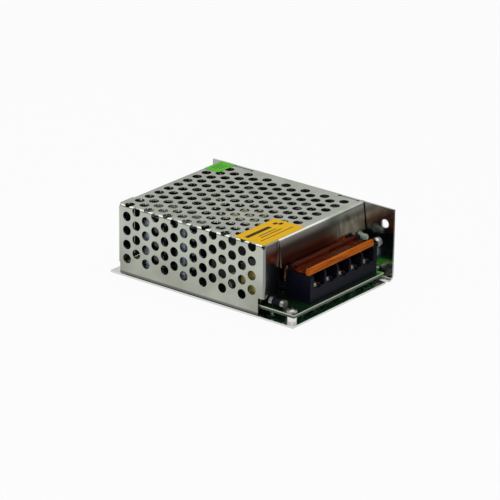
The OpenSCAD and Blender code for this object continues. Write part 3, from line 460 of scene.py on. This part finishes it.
front = zinc.facing[1] < -0.35
corner = zinc.x < CORNER_X
to_wall = zinc.x.ease(*REFLECTION_FADES_X)
reflection_streaks = zinc.grain(1.1, 3.0, zinc.stretched(1.4, 1.4, 0.07)).ease(0.42, 0.60)
# painted reflection of the lid and block: brown, darkest away from the wall
painted_reflection = zinc.blend(to_wall, (0.15, 0.09, 0.075), (0.46, 0.42, 0.30))
painted_reflection = zinc.blend(reflection_streaks * 0.55, painted_reflection, (0.14, 0.13, 0.10))
painted_dark_band = zinc.z.ease(*REFLECTION_BAND_TOP_Z) * zinc.z.ease(*REFLECTION_BAND_FOOT_Z) * to_wall
# painted dark band of reflection near the wall
painted_reflection = zinc.blend(painted_dark_band * 0.6, painted_reflection, (0.05, 0.045, 0.04))
painted_reflection = zinc.blend(zinc.x.ease(CORNER_X, CORNER_X - CORNER_FADE), painted_reflection, (0.24, 0.25, 0.25))
# painted highlight along the fold
fold_highlight = zinc.blend(zinc.x.ease(*FOLD_HIGHLIGHT_X) * 0.85, tone, (0.90, 0.88, 0.80))
highlight_share = zinc.z.ease(*FOLD_HIGHLIGHT_Z) * (1 - corner) + zinc.z.ease(*CORNER_HIGHLIGHT_Z) * corner
tone = zinc.blend(front, tone, zinc.blend(highlight_share, painted_reflection, fold_highlight))
print("the brown fades between x =", *REFLECTION_FADES_X, "mm")

# %% [markdown]
# Last come the surface's inputs: the finished tone, a roughness that follows the same noises, and dents
# of a hundredth of a millimetre.

# %% Cover sheet surface
zinc.paint(
    # the painted shadow line darkens the lower edge of the side
    Base_Color=zinc.blend(shadow_line, tone, (0.07, 0.075, 0.07)),
    Roughness=0.14 + cloud * 0.08 + rolled * 0.06 + rubs * 0.05,
)
zinc.bump(rolled * 0.6 + spangle * 0.4, 0.010, 0.4)
finishes["cover_sheet"] = zinc
print(zinc.material.name, "has", len(zinc.tree.nodes), "nodes")

# %% [markdown]
# ## Tinned base sheet
# The base and its solid wall are brighter: a smooth tinned sheet that mirrors what stands in it, softly
# drawn out along the rolling direction. A little less gloss here and there stands for fingermarks. The
# wall's inner face gets a painted dark reflection in its upper part, of the dark inside of the case.

# %% Base sheet
WALL_REFLECTION_Z = (15.0, 20.0)

tin = Finish("tinned_sheet", Metallic=1.0)
haze = tin.grain(14.0, 4.0)
drawn = tin.grain(0.8, 3.0, tin.stretched(5.0, 0.2, 5.0))
marks = tin.grain(3.0, 5.0).ease(0.55, 0.75)
bright = tin.blend(haze, (0.60, 0.61, 0.59), (0.72, 0.73, 0.71))
wall_painted_reflection = (tin.facing[0] < -0.5) * tin.z.ease(*WALL_REFLECTION_Z)
# painted reflection: the wall's inner face is darker in its upper part
tin.paint(
    Base_Color=tin.blend(wall_painted_reflection * 0.75, bright, (0.30, 0.29, 0.32)),
    Roughness=0.13 + haze * 0.05 + drawn * 0.05 + marks * 0.09,
)
tin.bump(drawn, 0.006, 0.4)
finishes["base_sheet"] = tin
print(tin.material.name, "has", len(tin.tree.nodes), "nodes")

# %% [markdown]
# ## Plated screws and terminals
# Screws and clamps are small turned or stamped parts with a nickel or zinc plating. The plating is clean
# on the flats and a little duller in tool marks, so a fine noise moves the roughness. The terminal parts
# stand in the dark under the lid, so their plating is written darker than new nickel.

# %% Plated metal
def plated(name, dark, light, dull):
    metal = Finish(name, Metallic=1.0)
    tool = metal.grain(0.25, 2.0)
    stain = metal.grain(1.5, 3.0)
    metal.paint(
        Base_Color=metal.blend(stain, dark, light),
        Roughness=dull + tool * 0.14 + stain * 0.08,
    )
    metal.bump(tool, 0.01, 0.3)
    return metal


finishes["screw_steel"] = plated("bright_zinc_plating", (0.66, 0.66, 0.63), (0.84, 0.84, 0.82), 0.12)
finishes["terminal_metal"] = plated("nickel_on_brass", (0.26, 0.26, 0.245), (0.46, 0.46, 0.435), 0.17)
print("plated finishes:", [key for key in finishes if key.startswith(("screw", "terminal"))])

# %% [markdown]
# ## Circuit board
# A board is glass fibre laminate under green lacquer. The lacquer is glossy and darker where there is no
# copper below it; tracks and wide copper areas show through as a lighter green with a small step.
# In a real room little light gets under the parts, and this studio gives more. So most of the top is
# written nearly black green as painted shade, and only the open strips beside the solid wall and at the
# rear are painted a brighter green. The underside is painted a lighter green, for light bouncing up from
# the base.

# %% Board lacquer
TRACK_PITCH = 2.54
TRACK_HALF = 0.45
SHADED_X = (31.0, 27.0)
SHADED_Y = (46.0, 42.0)

laminate = Finish("green_lacquered_board", Coat_Weight=0.6, Coat_Roughness=0.08, IOR=1.5)
lanes = (laminate.x + laminate.grain(18.0, 0.0) * 7.0).wrap(TRACK_PITCH)
areas = laminate.grain(9.0, 0.0).ease(0.50, 0.52)
copper = areas.larger(lanes.inside(TRACK_PITCH / 2, TRACK_HALF))
lacquer = laminate.blend(copper, (0.010, 0.095, 0.010), (0.028, 0.21, 0.016))
shaded = laminate.x.ease(*SHADED_X) * laminate.y.ease(*SHADED_Y)
# painted light: a brighter green on the open strips
lacquer = laminate.blend(1 - shaded, lacquer, (0.12, 0.52, 0.06))
# painted shade: nearly black green under the parts
in_shade = laminate.blend(copper, (0.003, 0.010, 0.004), (0.004, 0.020, 0.005))
lacquer = laminate.blend(shaded * 0.98, lacquer, in_shade)
# painted light: a lighter green on the underside
lit_underside = laminate.blend(copper, (0.015, 0.15, 0.04), (0.03, 0.23, 0.07))
lacquer = laminate.blend(laminate.facing[2] < -0.5, lacquer, lit_underside)
print("tracks run at a", TRACK_PITCH, "mm pitch")

# %% [markdown]
# The board's sawn edge has no lacquer. It shows pale, yellowish fibre in thin layers near the top, and
# the lower part is painted dark, as painted shade.

# %% Board edge and surface
PALE_STARTS_BELOW, PALE_FULL_BELOW = 0.7, 0.45

board_top = box_mm("circuit_board")[1].z
fibre = laminate.grain(0.4, 3.0, laminate.stretched(0.3, 0.3, 6.0))
sawn = abs(laminate.facing[2]) < 0.5
pale = laminate.blend(fibre, (0.42, 0.50, 0.36), (0.70, 0.74, 0.60))
pale_above_shade = laminate.z.ease(board_top - PALE_STARTS_BELOW, board_top - PALE_FULL_BELOW)
# painted shade on the lower part of the edge
edge = laminate.blend(pale_above_shade, (0.012, 0.035, 0.014), pale)
laminate.paint(
    Base_Color=laminate.blend(sawn, lacquer, edge),
    Roughness=0.18 + laminate.grain(3.0) * 0.1 + sawn * 0.4,
)
laminate.bump(copper * (1 - sawn), 0.035, 0.8)
finishes["board"] = laminate
print("the board's top is at", round(board_top, 2), "mm")

# %% [markdown]
# ## Moulded plastics
# The terminal block, bobbin and chips are moulded. A mould is spark-eroded, which leaves a skin of tiny
# rounded pits, so the light breaks up softly. One function makes all of them, with each one's colours
# and gloss; a slow noise keeps large faces from looking like a flat fill.

# %% Moulded plastic
MOULD_PIT_MM = 0.35


def moulded(name, dark, light, dull, **flat):
    plastic = Finish(name, IOR=1.5, **flat)
    skin = plastic.cells(MOULD_PIT_MM, "SMOOTH_F1")
    flow = plastic.grain(5.0, 3.0)
    plastic.paint(
        Base_Color=plastic.blend(flow, dark, light),
        Roughness=dull + skin * 0.12 + flow * 0.08,
    )
    plastic.bump(skin, 0.02, 0.5)
    return plastic


finishes["block_plastic"] = moulded(
    "black_block_plastic", (0.003, 0.0035, 0.008), (0.005, 0.006, 0.014), 0.34, Specular_IOR_Level=0.08)
for slot, name, dark, light, dull in (
    ("black_plastic", "black_package_plastic", (0.008, 0.008, 0.009), (0.018, 0.018, 0.02), 0.40),
    ("trimmer_blue", "blue_trimmer_plastic", (0.02, 0.09, 0.34), (0.04, 0.14, 0.44), 0.35),
    ("trimmer_white", "white_rotor_plastic", (0.72, 0.70, 0.62), (0.84, 0.83, 0.76), 0.4),
    ("white_plastic", "white_chip_plastic", (0.62, 0.62, 0.58), (0.74, 0.74, 0.70), 0.42),
    ("pad_grey", "grey_silicone_pad", (0.42, 0.40, 0.39), (0.52, 0.50, 0.48), 0.6),
):
    finishes[slot] = moulded(name, dark, light, dull)
print("finishes so far:", len(finishes))

# %% [markdown]
# ## Clear amber lid
# The lid is clear plastic that is deeply dyed: thin panels look brown over the black block, and its
# thick front bead glows orange where light runs through it. Real transmission does most of this by
# itself, so the shader lets most light through and the dye is the base colour. Fine moulding lines run
# along the lid, and faint handling haze breaks its gloss.

# %% Lid
amber = Finish("clear_amber_plastic", Transmission_Weight=0.96, IOR=1.15, Specular_IOR_Level=0.12)
haze = amber.grain(6.0, 3.0)
pull = amber.grain(1.2, 2.0, amber.stretched(0.1, 1.0, 1.0))
amber.paint(
    Base_Color=amber.blend(haze, (0.56, 0.065, 0.001), (0.74, 0.12, 0.001)),
    Roughness=0.04 + haze * 0.04 + pull * 0.03,
)
amber.bump(pull, 0.006, 0.25)
finishes["lid_plastic"] = amber
print("the lid lets through", amber.surface.inputs["Transmission Weight"].default_value)

# %% [markdown]
# The bead scatters the light that runs through it, which a thin clear shader can't show. So a matt orange
# shader is mixed over the clear one there, found by the distance from the lid's front edge.

# %% Lid bead
BEAD_MM = 2.4
BEAD_FADE_MM = 0.5

bead_end = box_mm("terminal_lid")[0].y + BEAD_MM
bead = amber.y.ease(bead_end, bead_end - BEAD_FADE_MM)
orange = amber.blend(pull.ease(0.3, 0.7), (0.40, 0.075, 0.002), (0.64, 0.165, 0.006))
cloudy_inputs = {"Base Color": orange, "Roughness": 0.35, "Specular IOR Level": 0.05}
cloudy = amber.node("BsdfPrincipled", {}, cloudy_inputs)
amber.mix_shader(bead * 0.9, cloudy)
print("the bead ends at y =", round(bead_end, 2), "mm")

# %% [markdown]
# ## Lens and film
# The status light's lens is milky and lets light through, and so does the film under the board.
# The film is seen only at the board's edges, so a plain pale plastic with a slight haze is enough.

# %% Lens and film
lens_milk = Finish("milky_lens", Transmission_Weight=0.6, IOR=1.4)
milk = lens_milk.grain(1.2, 3.0)
lens_milk.paint(
    Base_Color=lens_milk.blend(milk, (0.46, 0.60, 0.50), (0.70, 0.80, 0.70)),
    Roughness=0.16 + milk * 0.16,
)
finishes["led_lens"] = lens_milk

film = Finish("clear_film", Transmission_Weight=0.5, IOR=1.45)
wave = film.grain(7.0, 2.0)
film.paint(
    Base_Color=film.blend(wave, (0.70, 0.74, 0.70), (0.84, 0.86, 0.84)),
    Roughness=0.12 + wave * 0.12,
)
film.bump(wave, 0.1, 0.4)
finishes["film_clear"] = film
print("see-through finishes:", ["lid_plastic", "led_lens", "film_clear"])

# %% [markdown]
# ## Dipped and lacquered parts
# Disc capacitors, the varistor and the thermistor are dipped in lacquer or epoxy. The coat runs a
# little before it sets, so it is glossy with slow waves and small pits. One function again, by colour.

# %% Dipped coats
COAT_DULL = 0.16


def dipped(name, dark, light):
    coat = Finish(name, Coat_Weight=0.5, Coat_Roughness=0.1, IOR=1.5)
    run = coat.grain(2.6, 2.0)
    pits = coat.grain(0.5, 2.0)
    coat.paint(
        Base_Color=coat.blend(run, dark, light),
        Roughness=COAT_DULL + pits * 0.18,
    )
    coat.bump(run * 0.7 + pits * 0.3, 0.06, 0.5)
    return coat


# painted shade: the yellow and green coats are written darker than new coats, for the shade inside the
# case
finishes["yellow_coat"] = dipped("yellow_dipped_coat", (0.20, 0.165, 0.025), (0.30, 0.25, 0.045))
finishes["green_coat"] = dipped("green_dipped_coat", (0.006, 0.020, 0.010), (0.012, 0.035, 0.018))
finishes["blue_coat"] = dipped("blue_dipped_coat", (0.012, 0.07, 0.24), (0.03, 0.13, 0.36))
print("dipped finishes:", [key for key in finishes if key.endswith("_coat")])

# %% [markdown]
# ## Banded resistors
# A resistor is a pale blue body with coloured rings. The bodies lie along the case's length, so rings
# that repeat along it cross every body. The pins stay bare metal, and they are found by height.

# %% Resistors
RING_PITCH = 3.0
RING_HALF = 0.22
PIN_LENGTH = 2.8

low, high = box_mm("resistors")
resistor = Finish("banded_resistor_coat", IOR=1.5)
ring = (resistor.y + 0.4).wrap(RING_PITCH).inside(0.6, RING_HALF)
ring_colour = resistor.ramp(
    (resistor.y / RING_PITCH).wrap(1.0),
    (0.0, (0.30, 0.05, 0.02)), (0.4, (0.02, 0.02, 0.02)), (0.8, (0.55, 0.28, 0.02)))
plain = resistor.blend(resistor.grain(1.0), (0.22, 0.42, 0.48), (0.30, 0.52, 0.56))
pin = resistor.z < low.z + PIN_LENGTH
resistor.paint(
    Base_Color=resistor.blend(pin, resistor.blend(ring, plain, ring_colour), (0.72, 0.72, 0.70)),
    Metallic=pin,
    Roughness=0.22 + resistor.grain(0.6) * 0.15,
)
finishes["resistor_coat"] = resistor
print("resistors stand", round(high.z - low.z, 1), "mm high with their pins")

# %% [markdown]
# ## Capacitor cans
# A capacitor can is aluminium in a shrunk dark sleeve. The sleeve curls over the rim and leaves a bare
# round top with a pressed cross. A pale stripe with gaps marks the minus side. All the cans share one
# finish. The bare tops and stripes are placed from the two bulk cans, which can be seen through the
# vents. The small cans stay in plain sleeve.

# %% Can tops and stripes
BULK_RADIUS = 9.0
RIM_MM = 1.3
TOP_DEPTH = 1.6
STRIPE_HALF = 1.9
MARK_PITCH, MARK_LENGTH = 5.0, 2.4

low, high = box_mm("bulk_capacitors")
sleeve = Finish("dark_shrink_sleeve", Coat_Weight=0.4, Coat_Roughness=0.12, IOR=1.5)
middle_x = (low.x + high.x) / 2
rows = [low.y + BULK_RADIUS, high.y - BULK_RADIUS]
up = sleeve.facing[2] > 0.3
within_rim = sum(sleeve.distance(middle_x, row) < BULK_RADIUS - RIM_MM for row in rows)
bare = within_rim * up * (sleeve.z > high.z - TOP_DEPTH)
stripe = sum(sleeve.y.inside(row, STRIPE_HALF) for row in rows)
gaps = 1 - (sleeve.z.wrap(MARK_PITCH) < MARK_LENGTH) * 0.5
minus = stripe * (sleeve.x < middle_x) * gaps
print("the bulk cans stand", round(high.z, 1), "mm high")

# %% [markdown]
# The sleeve is nearly black, and its shrinking leaves it slightly uneven. The bare top is the only
# part that is a metal. Sleeve and top are written darker than new, as painted shade inside the case.

# %% Can sleeve
shrink = sleeve.grain(2.5, 3.0, sleeve.stretched(1.0, 1.0, 0.3))
# painted shade: the sleeve is written darker for the shade inside the case
dark = sleeve.blend(shrink, (0.003, 0.004, 0.011), (0.006, 0.008, 0.020))
striped = sleeve.blend(minus * (1 - up), dark, (0.20, 0.26, 0.32))
# painted shade: the bare top is written darker than aluminium
shaded_can_top = sleeve.blend(sleeve.grain(0.8), (0.26, 0.27, 0.29), (0.36, 0.37, 0.39))
sleeve.paint(
    Base_Color=sleeve.blend(bare, striped, shaded_can_top),
    Metallic=bare,
    Roughness=0.07 + shrink * 0.08 + bare * 0.24,
)
sleeve.bump(shrink, 0.05, 0.3)
finishes["can_sleeve"] = sleeve
print(sleeve.material.name, "has", len(sleeve.tree.nodes), "nodes")

# %% [markdown]
# ## Ferrite
# The cores are ferrite, which is pressed and fired: dark grey, faintly sparkling, with a dull skin. A
# high index of refraction makes the skin reflect more, and one fine noise moves its tone and roughness.

# %% Ferrite
ferrite = Finish("fired_ferrite", IOR=1.9)
speck = ferrite.grain(0.3, 3.0)
ferrite.paint(
    Base_Color=ferrite.blend(speck, (0.022, 0.022, 0.024), (0.06, 0.06, 0.064)),
    Roughness=0.42 + speck * 0.2,
)
ferrite.bump(speck, 0.03, 0.5)
finishes["ferrite"] = ferrite
print(ferrite.material.name, "ready")

# %% [markdown]
# ## Copper wire
# Enamelled copper is a warm metal under clear lacquer, so the coat gives the gloss and the metal below
# the colour. It is written far darker than copper, as painted shade for the coils inside the case.
# A slow noise changes the lacquer's tone from place to place.

# %% Copper wire
copper_wire = Finish("enamelled_copper", Metallic=1.0, Coat_Weight=0.7, Coat_Roughness=0.08)
lacquer_tone = copper_wire.grain(1.2, 2.0)
copper_wire.paint(
    # painted shade: the copper's colour is dark for the shade inside the case
    Base_Color=copper_wire.blend(lacquer_tone, (0.11, 0.032, 0.010), (0.18, 0.055, 0.018)),
    Roughness=0.2 + lacquer_tone * 0.12,
)
finishes["copper_wire"] = copper_wire
print(copper_wire.material.name, "ready")

# %% [markdown]
# ## Winding tape
# The transformer's winding is wrapped in glossy yellow tape. Its laps show as thin darker lines with a
# small step, a little wavy, and the tape has fine creases. Its yellow is written dark and olive, as
# painted shade inside the case.

# %% Tape
LAP_MM = 5.5
SEAM_MM = 0.35

tape = Finish("yellow_winding_tape", Coat_Weight=0.4, Coat_Roughness=0.15, IOR=1.5)
lap = (tape.z + tape.grain(6.0, 1.0) * 0.5).wrap(LAP_MM)
crease = tape.grain(2.0, 3.0, tape.stretched(0.4, 0.4, 1.6))
# painted shade: the tape's yellow is dark and olive
wrapped = tape.blend(crease, (0.42, 0.42, 0.16), (0.54, 0.53, 0.22))
tape.paint(
    Base_Color=tape.blend(lap.ease(SEAM_MM, 0.0) * 0.55, wrapped, (0.22, 0.21, 0.08)),
    Roughness=0.24 + crease * 0.16,
)
tape.bump(lap / LAP_MM + crease * 0.3, 0.08, 0.5)
finishes["yellow_tape"] = tape
print("tape laps every", LAP_MM, "mm")

# %% [markdown]
# ## Plain labels
# Two film labels lie on the top. They carry no words here: plain bars stand where print would be.
# The bars are drawn in the shader, from each label's own box, because ink has no height.
# Each bar is given by its middle and half size, as a share of the label, and worn spots thin the ink.

# %% Label print
def label_finish(name, node, film_colours, ink, bars):
    low, high = box_mm(node)
    middle, half = (low + high) / 2, (high - low) / 2
    label = Finish(name, IOR=1.4, Specular_IOR_Level=0.04)
    across, along = (label.x - middle.x) / half.x, (label.y - middle.y) / half.y
    printed = 0.0
    for centre_x, centre_y, half_x, half_y in bars:
        printed = (across.inside(centre_x, half_x) * along.inside(centre_y, half_y)).larger(printed)
    fibre = label.grain(1.6, 3.0)
    up = label.facing[2] > 0.5
    worn = 1 - label.grain(0.5, 3.0).ease(0.62, 0.72) * 0.5
    label.paint(
        Base_Color=label.blend(printed * up * worn, label.blend(fibre, *film_colours), ink),
        Roughness=0.28 + fibre * 0.14,
    )
    label.bump(fibre, 0.01, 0.4)
    return label


YELLOW_BARS = [
    (-0.25, 0.42, 0.58, 0.13), (0.66, 0.52, 0.09, 0.10), (0.76, 0.28, 0.09, 0.10),
    (-0.10, 0.02, 0.42, 0.035), (-0.05, -0.20, 0.50, 0.035), (0.0, -0.50, 0.80, 0.03),
]
GREEN_BARS = [(0.0, 0.40, 0.60, 0.08), (-0.10, 0.0, 0.50, 0.07), (0.05, -0.38, 0.45, 0.07)]
finishes["label_yellow"] = label_finish(
    "yellow_label_film", "front_label", [(0.80, 0.45, 0.008), (0.90, 0.53, 0.010)],
    (0.03, 0.022, 0.01), YELLOW_BARS)
finishes["label_green"] = label_finish(
    "green_label_film", "rear_label", [(0.10, 0.47, 0.030), (0.15, 0.56, 0.045)],
    (0.03, 0.22, 0.02), GREEN_BARS)
print("bars on the labels:", len(YELLOW_BARS), len(GREEN_BARS))

# %% [markdown]
# ## Dress the CAD parts
# The record says which finish each CAD part has. A CAD part's mesh and place stay as they are, and only
# its material slots change. Three parts get another finish than their slot's: the board's screws are
# darker, and as painted shade the fuse's caps are darker and its tube is as black as the block.

# %% Assign
slot_of = {part["node"]: part["material_slot"] for part in frame["record"]["subparts"]}
for name, part in nodes.items():
    part.data.materials.clear()
    part.data.materials.append(finishes[slot_of[name]].material)
dark_plating = plated("dark_zinc_plating", (0.26, 0.26, 0.25), (0.40, 0.40, 0.38), 0.12)
shaded_fuse_caps = plated("shaded_tin_caps", (0.19, 0.19, 0.18), (0.36, 0.36, 0.34), 0.2)
nodes["board_screws"].data.materials[0] = dark_plating.material
# painted shade: the fuse's tube and caps are written dark
nodes["fuse_tube"].data.materials[0] = finishes["block_plastic"].material
nodes["fuse_caps"].data.materials[0] = shaded_fuse_caps.material
print("dressed:", len(slot_of), "parts in", len(set(slot_of.values())), "finishes")

# %% [markdown]
# ## Added pieces
# `keep` finishes every bmesh: doubles are merged, faces turned outwards, and the piece gets the finish
# of its slot, or the one it is given. All the added pieces are fastened to the case, so they move with it.
# Spin makes its faces in an order that changes from run to run. So points and faces are sorted by how
# far they lie along one slanting line, and every run gives exactly the same mesh.

# %% Keep a piece
DOUBLE = 1e-7
SORT_ALONG = Vector((0.613, 0.371, 0.697))


def keep(name, mesh, slot, finish=None):
    bmesh.ops.remove_doubles(mesh, verts=mesh.verts, dist=DOUBLE)
    bmesh.ops.recalc_face_normals(mesh, faces=mesh.faces)
    mesh.verts.sort(key=lambda vert: vert.co.dot(SORT_ALONG))
    mesh.faces.sort(key=lambda face: face.calc_center_median().dot(SORT_ALONG))
    data = bpy.data.meshes.new(name)
    mesh.to_mesh(data)
    mesh.free()
    data.materials.append((finish or finishes[slot]).material)
    piece = bpy.data.objects.new(name, data)
    scene.collection.objects.link(piece)
    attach(piece, "case")
    print(name, "has", len(data.polygons), "faces")
    return piece


print("added pieces ride on: case")

# %% [markdown]
# ## The earth screw's head
# A pan head is a disc with a rounded rim. It stands on the inner face of the solid wall, and its shank
# goes through the sheet. Half its outline is spun right round the screw's axis, which lies along X.

# %% Earth screw head
SEGMENTS = 24
SHEET_MM = 1.0
SHANK_RADIUS = 1.45

low, high = box_mm("earth_screw")
axis_y, axis_z = (low.y + high.y) / 2, (low.z + high.z) / 2
radius = (high.z - low.z) / 2
wall_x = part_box("base_chassis")[1].x / MM - SHEET_MM
outline = [
    (low.x, 0.0), (low.x, 0.5), (low.x + 0.03, 1.6), (low.x + 0.35, 2.1), (low.x + 1.0, radius - 0.25),
    (wall_x, radius - 0.2), (wall_x, SHANK_RADIUS), (high.x, SHANK_RADIUS), (high.x, 0.0),
]
head = bmesh.new()
points = [head.verts.new((x * MM, (axis_y + out) * MM, axis_z * MM)) for x, out in outline]
edges = [head.edges.new(pair) for pair in zip(points, points[1:])]
bmesh.ops.spin(
    head, geom=points + edges, cent=(0, axis_y * MM, axis_z * MM), axis=(1, 0, 0),
    angle=math.tau, steps=SEGMENTS, use_merge=True)
bmesh.ops.remove_doubles(head, verts=head.verts, dist=DOUBLE)
print("the head is", round(2 * radius, 1), "mm across")

# %% [markdown]
# The cross recess takes a driver's tip. The faces of the flat front that make the cross are pushed in
# together, so the recess gets real walls, and the faces that were left above it are deleted. Then the
# head stands for the plain screw of the CAD model.

# %% Cross recess
FRONT_DEPTH = 0.1
CROSS_RADIUS = 1.75
CROSS_CORE = 0.5
ARM_SHARE = 0.18
CROSS_DEPTH = 1.1


def in_cross(face):
    """Whether a face of the flat front lies in one of the recess's four arms or its middle."""
    middle = face.calc_center_median() / MM
    above, beside = middle.z - axis_z, middle.y - axis_y
    out = math.hypot(above, beside)
    if middle.x > low.x + FRONT_DEPTH or out > CROSS_RADIUS:
        return False
    share = (math.atan2(above, beside) / (math.tau / 4)) % 1.0
    return out < CROSS_CORE or min(share, 1.0 - share) < ARM_SHARE


recess = [face for face in head.faces if in_cross(face)]
pushed = bmesh.ops.extrude_face_region(head, geom=recess)["geom"]
pushed_verts = [item for item in pushed if isinstance(item, bmesh.types.BMVert)]
bmesh.ops.translate(head, verts=pushed_verts, vec=(CROSS_DEPTH * MM, 0, 0))
bmesh.ops.delete(head, geom=recess, context="FACES_ONLY")
earth_head = keep("earth_screw_head", head, "screw_steel", dark_plating)
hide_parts("earth_screw")

# %% [markdown]
# ## Solder joints
# Under the board each pin ends in a small cone of solder. The pins are found from the parts themselves:
# their lowest points lie a little below the board, and points that are close together are one pin.

# %% Find the pins
PIN_END_MM = 3.2
PIN_SLACK_MM = 0.1
PIN_SPREAD_MM = 1.2


def pin_middles(part):
    """The middle of each group of points at the pins' lower end."""
    groups = []
    for vertex in part.data.vertices:
        if vertex.co.z > (PIN_END_MM + PIN_SLACK_MM) * MM:
            continue
        for group in groups:
            if (group[0] - vertex.co).length < PIN_SPREAD_MM * MM:
                group.append(vertex.co.copy())
                break
        else:
            groups.append([vertex.co.copy()])
    return [sum(group, Vector()) / len(group) for group in groups]


soldered = [name for name in nodes if abs(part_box(name)[0].z / MM - PIN_END_MM) < PIN_SLACK_MM]
print("soldered parts:", len(soldered))

# %% [markdown]
# A cone with a wide top and a narrow tip is enough for each joint, because they are only seen from low
# down between the board and the base. All of them are one piece.

# %% Solder joints
TIP_RADIUS, BOARD_RADIUS = 0.5, 1.0
JOINT_SEGMENTS = 10

solder = bmesh.new()
board_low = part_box("circuit_board")[0].z / MM
height = board_low - PIN_END_MM - PIN_SLACK_MM
for name in soldered:
    for middle in pin_middles(nodes[name]):
        place = Vector((middle.x, middle.y, (board_low - height / 2) * MM))
        bmesh.ops.create_cone(
            solder, cap_ends=True, segments=JOINT_SEGMENTS, radius1=TIP_RADIUS * MM,
            radius2=BOARD_RADIUS * MM, depth=height * MM, matrix=Matrix.Translation(place))
keep("solder_joints", solder, "screw_steel")
print("each joint is", round(height, 2), "mm high")

# %% [markdown]
# ## Dark strip
# A strip of thin black sheet stands inside the rear flange, just above the board's edge, as a dark sheet
# put where there is shade. Such sheet keeps live tracks away from a case. Whether this case has one is a
# guess: it closes the slit between the flange and the board, through which the white background would
# shine out of a vent. It's a plain box with slightly rounded edges.

# %% Dark strip for shade
STRIP_MM = (66.0, 0.42, 1.7)
STRIP_EDGE_MM = 0.1
GAP_BEHIND_BOARD = 0.04
GAP_ABOVE_BOARD = 0.05

board_high = box_mm("circuit_board")[1]
strip = bmesh.new()
bmesh.ops.create_cube(strip, size=1.0)
bmesh.ops.scale(strip, verts=strip.verts, vec=Vector(STRIP_MM) * MM)
bmesh.ops.bevel(
    strip, geom=strip.edges[:], offset=STRIP_EDGE_MM * MM, affect="EDGES", segments=2, profile=0.5,
    material=-1)
strip_y = board_high.y + GAP_BEHIND_BOARD + STRIP_MM[1] / 2
strip_z = board_high.z + GAP_ABOVE_BOARD + STRIP_MM[2] / 2
bmesh.ops.translate(strip, verts=strip.verts, vec=Vector((0, strip_y, strip_z)) * MM)
# a dark sheet that stands for shade in the slit
keep("rear_shade_strip", strip, "black_plastic")
to_rear = box_mm("mesh_cover")[1].y - strip_y - STRIP_MM[1] / 2
print("strip ends", round(to_rear, 2), "mm before the cover's rear face")

# %% How far the scene grows past the CAD box
low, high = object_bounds()
for name, growth in (("lowest", cad_low - low), ("highest", high - cad_high)):
    print("grown past the", name, "corner by (mm):", [round(side / MM, 3) for side in growth])
